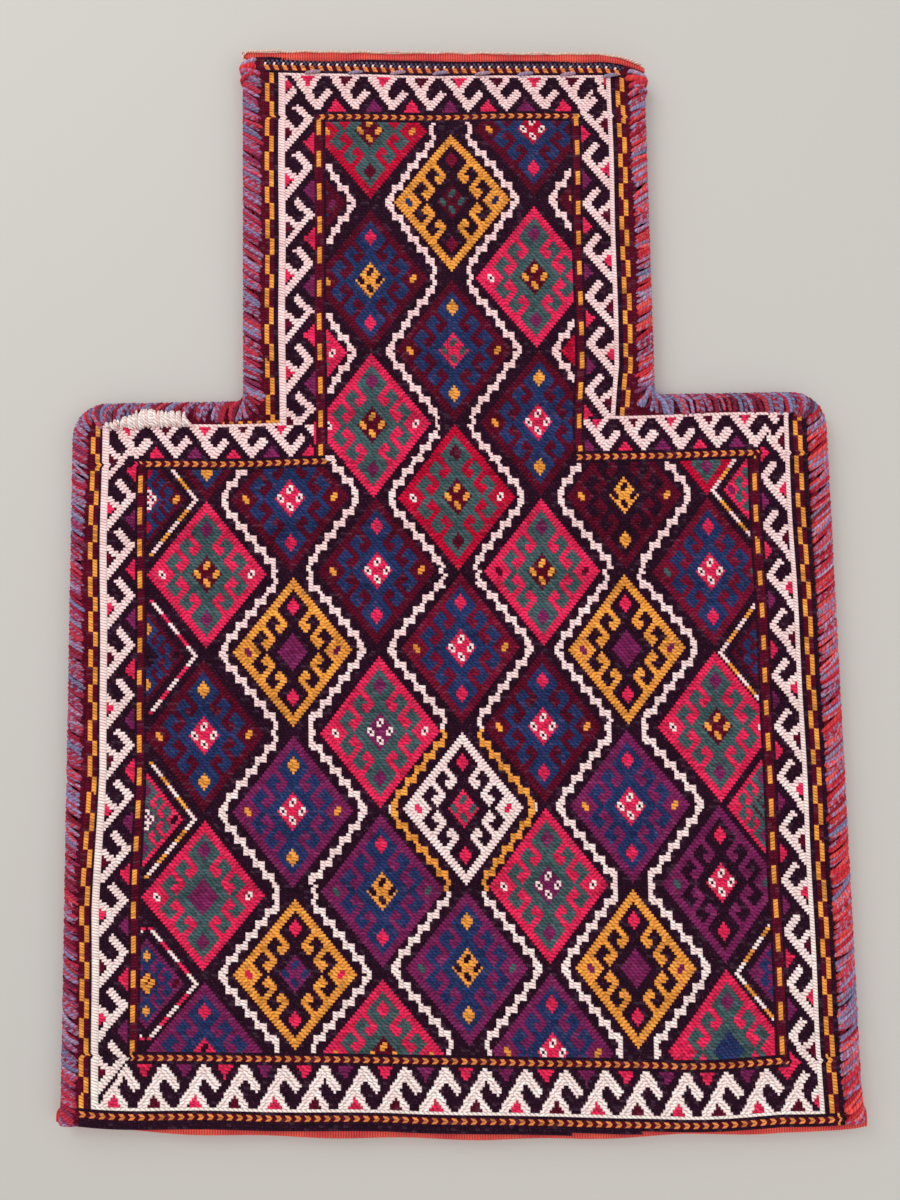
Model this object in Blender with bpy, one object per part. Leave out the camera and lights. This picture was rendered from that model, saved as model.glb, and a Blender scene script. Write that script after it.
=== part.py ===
"""Woven salt bag with a narrow neck that folds down over the body, lying on its back.

Metres, +Z up. X runs across the bag, Y from its bottom edge to its mouth, and Z through the cloth.
The origin lies under the middle of the bag, on the surface that the bag rests on.
"""

import math

import bmesh
import bpy
from mathutils import Matrix, Vector

# Outline of the bag, seen from the front
BAG_LENGTH = 0.565
BODY_LENGTH = 0.3733
BOTTOM_WIDTH = 0.398
SHOULDER_WIDTH = 0.394
NECK_WIDTH = 0.216
SHOULDER_CORNER_RADIUS = 0.018
CORNER_FLARE = 0.0020
FLARE_LENGTH = 0.020

# The bottom edge is lowest right of the middle and climbs to a tip at either end
LOWEST_FROM_MIDDLE = 0.120
LEFT_CLIMB = 0.005
TIP_CLIMB = 0.005

# The mouth's edge falls a little from left to right and droops at its right corner
MOUTH_FALL = 0.0057
MOUTH_DROOP = 0.007
DROOP_RUN = 0.026

# Cloth walls and the room between them
BACK_WALL = 0.002
POUCH_ROOM = 0.0048
FRONT_RIM = 0.0024
FRONT_CROWN = 0.0008
SEWN_GAP = 0.0003

# Overcast edges, bottom fold and mouth hems, as widths across the edge that they bind
SIDE_BINDING_WIDTH = 0.0102
SHOULDER_BINDING_WIDTH = 0.0115
NECK_BINDING_WIDTH = 0.0105
BOTTOM_FOLD_WIDTH = 0.006
HEM_WIDTH = 0.0057

# Yarn ties at the two corners of the mouth
TIE_LENGTH = 0.009
TIE_PROUD = 0.0006

# Ivory whipping that mends the left shoulder
REPAIR_LENGTH = 0.044
REPAIR_WIDTH = 0.009
REPAIR_THICKNESS = 0.0011
REPAIR_FROM_EDGE = 0.019
REPAIR_OVERLAP = 0.0015

# Short stitches that tack the front hem down
TACK_COUNT = 8
TACK_LENGTH = 0.0048
TACK_WIDTH = 0.0024
TACK_THICKNESS = 0.0009
TACK_BELOW_HEM = 0.0028
TACK_MARGIN_LEFT = 0.0380
TACK_MARGIN_RIGHT = 0.0185
TACK_SLANT_SHARE = 0.35

# Length of neck that rolls over when the neck is folded down
FOLD_ROLL = 0.012

# Roundness of bars and of the front cloth's rim, and the steps that curved edges are drawn in
ROUND_SHARE = 0.3
RIM_RUN_SHARE = 0.6
CORNER_STEPS = 2
SHOULDER_STEPS = 6
BOTTOM_STEPS = 24
DROOP_STEPS = 6
LEFT_TIP_POWER = 10
RIGHT_TIP_POWER = 4
SMOOTH_ANGLE = math.radians(50)

# Heights and lines that follow from the sizes above
BOTTOM_Y = -BAG_LENGTH / 2
MOUTH_Y = BAG_LENGTH / 2
SHOULDER_Y = BOTTOM_Y + BODY_LENGTH
BOTTOM_HALF = BOTTOM_WIDTH / 2 + CORNER_FLARE
NECK_HALF = NECK_WIDTH / 2
NECK_OPEN_HALF = NECK_HALF - NECK_BINDING_WIDTH
POUCH_TOP = BACK_WALL + POUCH_ROOM
RIM_TOP = POUCH_TOP + FRONT_RIM
CLOTH_TOP = RIM_TOP + FRONT_CROWN
RIM_RUN = RIM_RUN_SHARE * (SHOULDER_CORNER_RADIUS - SHOULDER_BINDING_WIDTH - SEWN_GAP)
LEFT = -1
RIGHT = 1
SIDES = ((LEFT, "left"), (RIGHT, "right"))

# Colours as they look on a screen, from 0 to 1
FIELD_COLOUR = (0.30, 0.12, 0.18)
BACK_COLOUR = (0.62, 0.24, 0.19)
HEM_COLOUR = (0.78, 0.29, 0.23)
BINDING_COLOUR = (0.55, 0.26, 0.32)
SHOULDER_COLOUR = (0.46, 0.30, 0.40)
IVORY_COLOUR = (0.93, 0.86, 0.80)
TACK_COLOUR = (0.58, 0.53, 0.64)
TIE_COLOUR = (0.72, 0.25, 0.24)
WOOL_ROUGHNESS = 0.9


def clear_scene():
    for obj in list(bpy.data.objects):
        bpy.data.objects.remove(obj, do_unlink=True)


def linear(channel):
    """One channel of a screen colour as the linear value that a shader takes."""
    if channel <= 0.04045:
        return channel / 12.92
    return ((channel + 0.055) / 1.055) ** 2.4


def wool(name, colour):
    material = bpy.data.materials.new(name)
    material.use_nodes = True
    shader = material.node_tree.nodes["Principled BSDF"]
    shader.inputs["Base Color"].default_value = (*map(linear, colour), 1.0)
    shader.inputs["Roughness"].default_value = WOOL_ROUGHNESS
    shader.inputs["Metallic"].default_value = 0.0
    return material


def axis_empty(name, place, parent=None):
    """An empty on a joint's axis, which carries the pieces that turn about it."""
    empty = bpy.data.objects.new(name, None)
    bpy.context.scene.collection.objects.link(empty)
    empty.empty_display_size = FOLD_ROLL
    parent_place = parent["place"] if parent else (0.0, 0.0, 0.0)
    empty.location = Vector(place) - Vector(parent_place)
    empty.parent = parent
    empty["place"] = place
    return empty


def finish_piece(name, shape, colour, carrier):
    """Turns a bmesh, drawn in the bag's frame, into an object that its carrier moves."""
    bmesh.ops.recalc_face_normals(shape, faces=shape.faces)
    mesh = bpy.data.meshes.new(name)
    shape.to_mesh(mesh)
    shape.free()
    mesh.shade_smooth()
    mesh.set_sharp_from_angle(angle=SMOOTH_ANGLE)
    mesh.materials.append(wool(name, colour))
    piece = bpy.data.objects.new(name, mesh)
    bpy.context.scene.collection.objects.link(piece)
    if carrier:
        mesh.transform(Matrix.Translation(-Vector(carrier["place"])))
        piece.parent = carrier
    return piece


def cloth_panel(name, outline, low, rim, crown, colour, carrier=None):
    """A flat wall of cloth with this outline, whose upper side rises to a crown inside its rim."""
    shape = bmesh.new()
    corners = [shape.verts.new((x, y, low)) for x, y in outline]
    floor = shape.faces.new(corners)
    risen = bmesh.ops.extrude_face_region(shape, geom=[floor])["geom"]
    upper = [part for part in risen if isinstance(part, bmesh.types.BMVert)]
    bmesh.ops.translate(shape, verts=upper, vec=(0.0, 0.0, rim - low))
    bmesh.ops.recalc_face_normals(shape, faces=shape.faces)
    if crown:
        top = [part for part in risen if isinstance(part, bmesh.types.BMFace)]
        bmesh.ops.inset_region(shape, faces=top, thickness=RIM_RUN, depth=crown, use_even_offset=True)
    return finish_piece(name, shape, colour, carrier)


def rounded_section(width, low, high):
    """Points (across, up) round the section of a bar with rounded corners."""
    radius = ROUND_SHARE * min(width, high - low)
    middles = (
        (width - radius, high - radius),
        (radius, high - radius),
        (radius, low + radius),
        (width - radius, low + radius),
    )
    points = []
    for quarter, (across, up) in enumerate(middles):
        for step in range(CORNER_STEPS + 1):
            angle = math.pi / 2 * (quarter + step / CORNER_STEPS)
            points.append((across + radius * math.cos(angle), up + radius * math.sin(angle)))
    return points


def edge_bar(name, inner, outer, low, high, colour, carrier=None):
    """A rounded bar of yarn that fills the strip between two rails of matching points."""
    shape = bmesh.new()
    rings = []
    for start, end in zip(inner, outer):
        across = Vector(end) - Vector(start)
        direction = across.normalized()
        ring = []
        for along, up in rounded_section(across.length, low, high):
            place = Vector(start) + direction * along
            ring.append(shape.verts.new((place.x, place.y, up)))
        rings.append(ring)
    for first, second in zip(rings, rings[1:]):
        for i, vertex in enumerate(first):
            j = (i + 1) % len(first)
            shape.faces.new((vertex, first[j], second[j], second[i]))
    shape.faces.new(rings[0])
    shape.faces.new(rings[-1])
    return finish_piece(name, shape, colour, carrier)


def half_width(y):
    """Half of the body's width at this height, which tapers a little towards the shoulders."""
    share = (y - BOTTOM_Y) / BODY_LENGTH
    return (BOTTOM_WIDTH + (SHOULDER_WIDTH - BOTTOM_WIDTH) * share) / 2


def bottom_line(x):
    """Height of the bag's bottom edge here."""
    if x < LOWEST_FROM_MIDDLE:
        share = (LOWEST_FROM_MIDDLE - x) / (LOWEST_FROM_MIDDLE + BOTTOM_HALF)
        return BOTTOM_Y + LEFT_CLIMB * share + TIP_CLIMB * share**LEFT_TIP_POWER
    share = (x - LOWEST_FROM_MIDDLE) / (BOTTOM_HALF - LOWEST_FROM_MIDDLE)
    return BOTTOM_Y + TIP_CLIMB * share**RIGHT_TIP_POWER


def bottom_seam(x):
    """Height at which the bottom fold ends and the walls and side bindings begin."""
    return bottom_line(x) + BOTTOM_FOLD_WIDTH + SEWN_GAP


def bottom_stops(half):
    """Places across the bottom, closer together towards its climbing tips."""
    angles = [math.pi * step / BOTTOM_STEPS for step in range(BOTTOM_STEPS + 1)]
    return sorted([-half * math.cos(angle) for angle in angles] + [LOWEST_FROM_MIDDLE])


def mouth_line(x):
    """Height of the mouth's edge here."""
    droop_share = min(max((x - NECK_HALF) / DROOP_RUN + 1, 0), 1)
    return MOUTH_Y - MOUTH_FALL * (x + NECK_HALF) / NECK_WIDTH - MOUTH_DROOP * droop_share**2


def hem_seam(x):
    """Height at which the hems begin and the neck's walls and ties end."""
    return mouth_line(x) - HEM_WIDTH - SEWN_GAP


def mouth_stops(half):
    """Places across the mouth, closer together where its edge droops."""
    droop = [NECK_HALF - DROOP_RUN * (1 - step / DROOP_STEPS) for step in range(DROOP_STEPS)]
    return [-half] + [x for x in droop if x < half] + [half]


def side_rail(side, side_inset, shoulder_inset, flare):
    """Points up one side of the body and round its shoulder corner, set in from the bag's edge."""
    bend_y = SHOULDER_Y - SHOULDER_CORNER_RADIUS
    flare_y = BOTTOM_Y + FLARE_LENGTH
    start_x = half_width(BOTTOM_Y) + flare - side_inset
    points = [(start_x, bottom_seam(side * start_x)), (half_width(flare_y) - side_inset, flare_y)]
    middle_x = SHOULDER_WIDTH / 2 - SHOULDER_CORNER_RADIUS
    for step in range(SHOULDER_STEPS + 1):
        angle = math.pi / 2 * step / SHOULDER_STEPS
        x = middle_x + (SHOULDER_CORNER_RADIUS - side_inset) * math.cos(angle)
        y = bend_y + (SHOULDER_CORNER_RADIUS - shoulder_inset) * math.sin(angle)
        points.append((x, y))
    return [(side * x, y) for x, y in points]


def body_outline():
    """The body's cloth inside its bindings, with the tab that reaches up between them to the neck."""
    side_inset = SIDE_BINDING_WIDTH + SEWN_GAP
    shoulder_inset = SHOULDER_BINDING_WIDTH + SEWN_GAP
    tab_half = NECK_OPEN_HALF - SEWN_GAP
    tab = [(tab_half, SHOULDER_Y - shoulder_inset), (tab_half, SHOULDER_Y - SEWN_GAP / 2)]
    left, right = (side_rail(side, side_inset, shoulder_inset, 0.0) for side, _ in SIDES)
    bottom = [(x, bottom_seam(x)) for x in bottom_stops(right[0][0])]
    right_top = right[1:] + tab
    left_top = left[1:] + [(-x, y) for x, y in tab]
    return bottom + right_top + left_top[::-1]


def body_walls():
    outline = body_outline()
    cloth_panel("back_panel", outline, 0.0, BACK_WALL, 0.0, BACK_COLOUR)
    cloth_panel("front_panel", outline, POUCH_TOP, RIM_TOP, FRONT_CROWN, FIELD_COLOUR)


def neck_walls(neck_axis, mouth_axis):
    half = NECK_OPEN_HALF - SEWN_GAP
    low_y = SHOULDER_Y + SEWN_GAP / 2
    top = [(x, hem_seam(x)) for x in mouth_stops(half)]
    outline = [(-half, low_y), (half, low_y)] + top[::-1]
    cloth_panel("neck_back_panel", outline, 0.0, BACK_WALL, 0.0, BACK_COLOUR, neck_axis)
    cloth_panel("neck_front_panel", outline, POUCH_TOP, RIM_TOP, FRONT_CROWN, FIELD_COLOUR, mouth_axis)


def body_bindings():
    for side, word in SIDES:
        outer = side_rail(side, 0.0, 0.0, CORNER_FLARE)
        inner = side_rail(side, SIDE_BINDING_WIDTH, SHOULDER_BINDING_WIDTH, 0.0)
        edge_bar(f"{word}_side_binding", inner, outer, 0.0, CLOTH_TOP, BINDING_COLOUR)
        start_x = side * NECK_OPEN_HALF
        end_x = side * (SHOULDER_WIDTH / 2 - SHOULDER_CORNER_RADIUS - SEWN_GAP)
        outer_y = SHOULDER_Y - SEWN_GAP / 2
        inner_y = SHOULDER_Y - SHOULDER_BINDING_WIDTH
        inner = [(start_x, inner_y), (end_x, inner_y)]
        outer = [(start_x, outer_y), (end_x, outer_y)]
        edge_bar(f"{word}_shoulder_binding", inner, outer, 0.0, CLOTH_TOP, SHOULDER_COLOUR)


def bottom_fold():
    """The plain-woven turn at the bottom, where the front's cloth runs on into the back's."""
    outer = [(x, bottom_line(x)) for x in bottom_stops(BOTTOM_HALF)]
    inner = [(x, y + BOTTOM_FOLD_WIDTH) for x, y in outer]
    edge_bar("bottom_fold", inner, outer, 0.0, CLOTH_TOP, HEM_COLOUR)


def neck_bindings(neck_axis):
    """The neck's overcast edges, each ending in a thicker tie at the corner of the mouth."""
    low_y = SHOULDER_Y + SEWN_GAP / 2
    for side, word in SIDES:
        places = (side * NECK_OPEN_HALF, side * NECK_HALF)
        inner, outer = ([(x, low_y), (x, hem_seam(x) - TIE_LENGTH - SEWN_GAP)] for x in places)
        edge_bar(f"{word}_neck_binding", inner, outer, 0.0, CLOTH_TOP, BINDING_COLOUR, neck_axis)
        places = (side * NECK_OPEN_HALF, side * (NECK_HALF + TIE_PROUD))
        inner, outer = ([(x, hem_seam(x) - TIE_LENGTH), (x, hem_seam(x))] for x in places)
        edge_bar(f"{word}_mouth_tie", inner, outer, 0.0, CLOTH_TOP + TIE_PROUD, TIE_COLOUR, neck_axis)


def mouth_hems(neck_axis, mouth_axis):
    outer = [(x, mouth_line(x)) for x in mouth_stops(NECK_HALF)]
    inner = [(x, y - HEM_WIDTH) for x, y in outer]
    edge_bar("back_mouth_hem", inner, outer, 0.0, BACK_WALL, HEM_COLOUR, neck_axis)
    edge_bar("front_mouth_hem", inner, outer, POUCH_TOP, CLOTH_TOP, HEM_COLOUR, mouth_axis)


def hem_tacks(mouth_axis):
    """Slanted stitches, evenly spaced over the seam below the front hem."""
    low = CLOTH_TOP + SEWN_GAP
    pitch = (NECK_WIDTH - TACK_MARGIN_LEFT - TACK_MARGIN_RIGHT) / (TACK_COUNT - 1)
    along = Vector((1.0, TACK_SLANT_SHARE)).normalized() * TACK_LENGTH / 2
    across = Vector((-TACK_SLANT_SHARE, 1.0)).normalized() * TACK_WIDTH / 2
    for i in range(TACK_COUNT):
        x = TACK_MARGIN_LEFT - NECK_HALF + i * pitch
        middle = Vector((x, hem_seam(x) - TACK_BELOW_HEM - TACK_WIDTH))
        inner = [middle - along - across, middle + along - across]
        outer = [middle - along + across, middle + along + across]
        name = f"hem_tack_{i + 1}"
        edge_bar(name, inner, outer, low, low + TACK_THICKNESS, TACK_COLOUR, mouth_axis)


def shoulder_repair():
    """Ivory yarn whipped over the left shoulder's binding and the first rows of the front."""
    low = CLOTH_TOP + SEWN_GAP
    start_x = -SHOULDER_WIDTH / 2 + REPAIR_FROM_EDGE
    inner_y = SHOULDER_Y - SHOULDER_BINDING_WIDTH - REPAIR_OVERLAP
    inner = [(start_x, inner_y), (start_x + REPAIR_LENGTH, inner_y)]
    outer = [(x, y + REPAIR_WIDTH) for x, y in inner]
    edge_bar("ivory_repair_whipping", inner, outer, low, low + REPAIR_THICKNESS, IVORY_COLOUR)


def build():
    clear_scene()
    neck_axis = axis_empty("neck_fold_axis", (0.0, SHOULDER_Y, CLOTH_TOP + SEWN_GAP))
    mouth_axis = axis_empty("mouth_open_axis", (0.0, SHOULDER_Y + FOLD_ROLL, CLOTH_TOP), neck_axis)
    body_walls()
    body_bindings()
    bottom_fold()
    shoulder_repair()
    neck_walls(neck_axis, mouth_axis)
    neck_bindings(neck_axis)
    mouth_hems(neck_axis, mouth_axis)
    hem_tacks(mouth_axis)


build()
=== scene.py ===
# %% [markdown]
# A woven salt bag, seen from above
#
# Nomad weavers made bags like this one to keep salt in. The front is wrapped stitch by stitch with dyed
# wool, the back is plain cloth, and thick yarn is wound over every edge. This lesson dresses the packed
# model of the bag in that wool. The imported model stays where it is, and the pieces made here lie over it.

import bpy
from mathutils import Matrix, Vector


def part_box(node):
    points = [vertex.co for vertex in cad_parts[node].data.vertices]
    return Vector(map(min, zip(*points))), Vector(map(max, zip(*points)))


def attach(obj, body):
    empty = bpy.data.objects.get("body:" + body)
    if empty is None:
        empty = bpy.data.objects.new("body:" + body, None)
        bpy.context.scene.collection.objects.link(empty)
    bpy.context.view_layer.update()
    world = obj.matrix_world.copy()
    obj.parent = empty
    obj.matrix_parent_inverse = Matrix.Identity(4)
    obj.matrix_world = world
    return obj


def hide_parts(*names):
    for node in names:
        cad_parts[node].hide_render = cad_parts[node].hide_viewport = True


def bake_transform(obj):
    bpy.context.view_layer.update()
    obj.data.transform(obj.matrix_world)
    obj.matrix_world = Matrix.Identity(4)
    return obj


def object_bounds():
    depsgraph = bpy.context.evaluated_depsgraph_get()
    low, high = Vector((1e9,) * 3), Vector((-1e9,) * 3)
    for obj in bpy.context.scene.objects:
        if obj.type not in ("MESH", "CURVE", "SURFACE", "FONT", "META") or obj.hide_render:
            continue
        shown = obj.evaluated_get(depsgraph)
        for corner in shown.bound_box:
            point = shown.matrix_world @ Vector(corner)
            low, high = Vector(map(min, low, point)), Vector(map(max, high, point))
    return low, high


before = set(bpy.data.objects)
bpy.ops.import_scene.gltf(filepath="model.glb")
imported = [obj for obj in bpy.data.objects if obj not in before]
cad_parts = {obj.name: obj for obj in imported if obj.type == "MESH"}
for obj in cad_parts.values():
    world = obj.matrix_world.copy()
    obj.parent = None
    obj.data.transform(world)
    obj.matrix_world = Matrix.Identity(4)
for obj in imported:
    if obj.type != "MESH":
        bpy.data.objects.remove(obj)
CAD_BOX = [[float(value) for value in corner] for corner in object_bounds()]

# %% [markdown]
# Blender comes with numpy, which works on whole arrays of numbers at once. The bag has over a hundred thousand
# stitches, and plain Python loops over them would take minutes. The random numbers start from a fixed seed,
# so every run weaves the same bag. The Standard view keeps each dye the colour that is written here.

# %% Tools that the lesson uses
import math

import bpy
import numpy as np
from mathutils import Matrix, Vector

SEED = 7
random = np.random.default_rng(SEED)
scene = bpy.context.scene
scene.view_settings.view_transform = "Standard"

# %% [markdown]
# The photograph was taken from straight above, by someone who held a phone at arm's length. So the camera
# hangs half a metre over the bag, tips a few degrees and is turned by a hair, as a hand does. The lens is
# given as a focal length in pixels of a picture 1200 pixels high, which a 36 mm sensor turns into
# millimetres.

# %% Hang the camera over the bag
SENSOR = 36
PICTURE_HEIGHT = 1200
FOCAL_PIXELS = 901
AIM = Vector((-0.0013, -0.0149, 0.0))
CAMERA_DISTANCE = 0.473
CAMERA_TILT = math.radians(4)
CAMERA_ROLL = math.radians(-0.98)

camera_data = bpy.data.cameras.new("camera")
camera_data.sensor_width = SENSOR
camera_data.lens = FOCAL_PIXELS * SENSOR / PICTURE_HEIGHT
camera = bpy.data.objects.new("camera", camera_data)
scene.collection.objects.link(camera)
turn = Matrix.Rotation(CAMERA_TILT, 4, "X") @ Matrix.Rotation(CAMERA_ROLL, 4, "Z")
camera.matrix_world = Matrix.Translation(AIM + turn @ Vector((0, 0, CAMERA_DISTANCE))) @ turn
scene.camera = camera
print("camera at", [round(value, 4) for value in camera.matrix_world.translation])

# %% [markdown]
# Shader maths is easier to read as Python than as a picture of boxes. The class below holds one output
# socket. Adding or multiplying two of them makes the Math node that does it, so `1 - mask` is a real node.
# Colours go through a Mix node instead, because a Math node would turn them grey.


# %% A socket that can be added and multiplied
class Wire:
    """One output socket of a node tree."""

    def __init__(self, tree, socket=None):
        self.tree = tree
        self.socket = socket

    def node(self, kind, settings=None, sockets=None, output=0):
        """A new node: its settings come first, then the values or links of its sockets."""
        made = self.tree.nodes.new(kind)
        for name, value in (settings or {}).items():
            if name == "stops":
                elements = made.color_ramp.elements
                while len(elements) < len(value):
                    elements.new(1.0)
                for element, (position, level) in zip(elements, value):
                    element.position = position
                    element.color = (level, level, level, 1.0)
            else:
                setattr(made, name, value)
        for key, value in (sockets or {}).items():
            if isinstance(value, Wire):
                self.tree.links.new(value.socket, made.inputs[key])
            else:
                made.inputs[key].default_value = value
        return Wire(self.tree, made.outputs[output] if made.outputs else None)

    def math(self, operation, first, second=0.0):
        return self.node("ShaderNodeMath", {"operation": operation}, {0: first, 1: second})

    def __add__(self, other):
        return self.math("ADD", self, other)

    def __radd__(self, other):
        return self.math("ADD", other, self)

    def __sub__(self, other):
        return self.math("SUBTRACT", self, other)

    def __rsub__(self, other):
        return self.math("SUBTRACT", other, self)

    def __mul__(self, other):
        return self.math("MULTIPLY", self, other)

    def __rmul__(self, other):
        return self.math("MULTIPLY", other, self)

    def __pow__(self, other):
        return self.math("POWER", self, other)

    def __abs__(self):
        return self.math("ABSOLUTE", self)

    def above(self, level):
        return self.math("GREATER_THAN", self, level)

    def mix(self, other, factor, blend="MIX"):
        """This colour mixed with another one."""
        settings = {"data_type": "RGBA", "blend_type": blend}
        return self.node("ShaderNodeMix", settings, {0: factor, 6: self, 7: other}, 2)


def linear(colour):
    """A screen colour from 0 to 255 as the linear values that shaders take."""
    share = np.asarray(colour, float) / 255
    return np.where(share <= 0.04045, share / 12.92, ((share + 0.055) / 1.055) ** 2.4)


# %% [markdown]
# The light is the soft light of an overcast day: an even sky, and two wide lamps that only bring out the
# relief of the stitches. A sun lamp would be simpler, but its hard shadows would hide the pattern. The floor is
# plain and pale, and keeps the bag's shadow.

# %% Light and floor
SKY_STRENGTH = 0.62
KEY_POWER = 7.0
FILL_POWER = 3.0
LAMP_SIZE = 0.9
FLOOR_SIZE = 8.0
FLOOR_COLOUR = (214, 210, 204)
FLOOR_ROUGHNESS = 0.9

world = bpy.data.worlds.new("sky")
scene.world = world
world.use_nodes = True
sky = Wire(world.node_tree)
world.node_tree.nodes.clear()
camera_ray = sky.node("ShaderNodeLightPath", output="Is Camera Ray")
glossy_ray = sky.node("ShaderNodeLightPath", output="Is Glossy Ray")
seen = sky.math("MAXIMUM", camera_ray, glossy_ray)
strength = SKY_STRENGTH + (1 - SKY_STRENGTH) * seen
background = sky.node("ShaderNodeBackground", None, {"Color": (1, 1, 1, 1), "Strength": strength})
sky.node("ShaderNodeOutputWorld", None, {"Surface": background})


def add_lamp(name, place, power):
    """A wide square lamp that looks at the bag's middle."""
    data = bpy.data.lights.new(name, "AREA")
    data.energy = power
    data.size = LAMP_SIZE
    lamp = bpy.data.objects.new(name, data)
    lamp.location = place
    lamp.rotation_euler = (-Vector(place)).to_track_quat("-Z", "Y").to_euler()
    scene.collection.objects.link(lamp)


add_lamp("key_lamp", (-0.75, 0.85, 0.95), KEY_POWER)
add_lamp("fill_lamp", (0.9, -0.3, 1.1), FILL_POWER)

floor_mesh = bpy.data.meshes.new("floor")
half = FLOOR_SIZE / 2
floor_corners = [(-half, -half, 0), (half, -half, 0), (half, half, 0), (-half, half, 0)]
floor_mesh.from_pydata(floor_corners, [], [(0, 1, 2, 3)])
floor = bpy.data.objects.new("floor", floor_mesh)
scene.collection.objects.link(floor)
floor_material = bpy.data.materials.new("floor")
floor_material.use_nodes = True
floor_shader = floor_material.node_tree.nodes["Principled BSDF"]
floor_shader.inputs["Base Color"].default_value = (*linear(FLOOR_COLOUR), 1)
floor_shader.inputs["Roughness"].default_value = FLOOR_ROUGHNESS
floor_mesh.materials.append(floor_material)
print("sky:", SKY_STRENGTH, "lamps, W:", KEY_POWER, FILL_POWER)

# %% [markdown]
# The bag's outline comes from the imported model. Its bottom edge sags to its lowest point right of the
# middle and climbs to a tip at either end, and the edge of the mouth falls a little to the right and droops
# at its corner. The edges could be drawn as curves by hand, but every stitch has to know how far it is from
# them. So all are short formulas, which work on one number or on a whole array of them.

# %% The outline of the bag
BOTTOM_Y = CAD_BOX[0][1]
MOUTH_Y = CAD_BOX[1][1]
BOTTOM_HALF = CAD_BOX[1][0]
SHOULDER_Y = float(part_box("left_side_binding")[1][1])
CLOTH_TOP = float(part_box("left_side_binding")[1][2])
NECK_HALF = -float(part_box("left_neck_binding")[0][0])
BACK_TOP = float(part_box("back_panel")[1][2])
FRONT_UNDER = float(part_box("front_panel")[0][2])
BOTTOM_WIDTH = 0.398
SHOULDER_WIDTH = 0.394
CORNER_RADIUS = 0.018
FLARE_LENGTH = 0.020
LOWEST_X = 0.120
LEFT_CLIMB = 0.005
TIP_CLIMB = 0.005
LEFT_TIP_POWER = 10
RIGHT_TIP_POWER = 4
MOUTH_FALL = 0.0057
MOUTH_DROOP = 0.007
DROOP_RUN = 0.026
FOLD_ROLL = 0.012
JOIN_Y = SHOULDER_Y + FOLD_ROLL


def bottom_line(x):
    """Height of the bottom edge."""
    left = (LOWEST_X - x) / (LOWEST_X + BOTTOM_HALF)
    right = (x - LOWEST_X) / (BOTTOM_HALF - LOWEST_X)
    left_rise = LEFT_CLIMB * left + TIP_CLIMB * np.abs(left) ** LEFT_TIP_POWER
    right_rise = TIP_CLIMB * np.abs(right) ** RIGHT_TIP_POWER
    return BOTTOM_Y + np.where(x < LOWEST_X, left_rise, right_rise)


def mouth_line(x):
    """Height of the mouth's edge."""
    droop = np.clip((x - NECK_HALF) / DROOP_RUN + 1, 0, 1)
    return MOUTH_Y - MOUTH_FALL * (x + NECK_HALF) / (2 * NECK_HALF) - MOUTH_DROOP * droop**2


def half_width(y):
    """Half of the body's width, which tapers a little towards the shoulders and flares at the bottom."""
    share = (y - BOTTOM_Y) / (SHOULDER_Y - BOTTOM_Y)
    flare = np.clip(1 - (y - BOTTOM_Y) / FLARE_LENGTH, 0, 1) * (BOTTOM_HALF - BOTTOM_WIDTH / 2)
    return (BOTTOM_WIDTH + (SHOULDER_WIDTH - BOTTOM_WIDTH) * share) / 2 + flare


print("body and neck, mm:", round(2000 * BOTTOM_HALF), round(2000 * NECK_HALF))

# %% [markdown]
# The dyer's colours. Old bags of this kind use few: a black ground with some red in it, two dark reds, an
# indigo, a faded green, a purple, two bright reds, an orange and undyed ivory. Each stitch of the front
# below is one of these. Amber is the duller orange of the arrowheads, slate is only in two rows by the
# mouth, brick in a plain strip on the right, and cream is the same undyed wool as ivory in straight lines.

# %% The dyed wools
WOOLS = {
    "black": (37, 11, 30),
    "maroon": (86, 8, 32),
    "garnet": (112, 14, 42),
    "navy": (34, 50, 94),
    "green": (64, 88, 90),
    "purple": (118, 32, 82),
    "crimson": (186, 10, 48),
    "red": (227, 38, 82),
    "orange": (238, 152, 62),
    "amber": (224, 136, 70),
    "ivory": (255, 231, 224),
    "cream": (255, 236, 226),
    "slate": (82, 74, 94),
    "brick": (214, 62, 62),
}
WOOL_NAMES = list(WOOLS)


def wool_number(name):
    return WOOL_NAMES.index(name)


print("dyed wools:", len(WOOLS))

# %% [markdown]
# The loom comes before the pattern. Warps run up the bag and rows of wrapping cross them, and every motif
# keeps to whole warps and rows, because a stitch can't stop halfway. A picture could be laid over the cloth,
# but its edges would cut through stitches. So the pattern is drawn on the loom's own straight grid, and one
# function then puts it on the bag, where the cloth has pulled in at the right, follows the sagging bottom and
# the falling mouth, and drifts a little as handwoven cloth does. It has also stretched at the lower left, and
# its lowest rows sag unevenly.

# %% From the loom to the bag
WARP = 0.0012
ROW = 0.0015
RIGHT_PULL = 0.026
RIGHT_PULL_BOTTOM = 0.008
RIGHT_NECK_STRETCH = 0.010
LEFT_STRETCH = 0.013
LEFT_STRETCH_FROM = -0.10
LEFT_STRETCH_RUN = 0.07
NECK_EASE = 0.03
BOTTOM_EASE = 0.09
BOTTOM_HOLD = 1.4
MOUTH_EASE = 0.06
MOUTH_SAG = (0.0007, 0.0016)
LEFT_DROOP = 0.0015
LEFT_DROOP_RUN = 0.020
BOTTOM_DROPS = (
    (-0.20, -0.09, -0.035, 0.015, 0.05, 0.08, 0.11, 0.13, 0.16, 0.197),
    (0.0, -0.0005, -0.0006, 0.0008, 0.0016, 0.0028, 0.0032, 0.0028, 0.0016, 0.0036),
)
SHOULDER_RISE = (0.0013, 0.045)
DRIFT = 0.0004
LEAN = 0.6


def bump(value, middle, half):
    """1 at the middle and falling evenly to 0 on both sides of it."""
    return np.clip(1 - np.abs(value - middle) / half, 0, 1)


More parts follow.
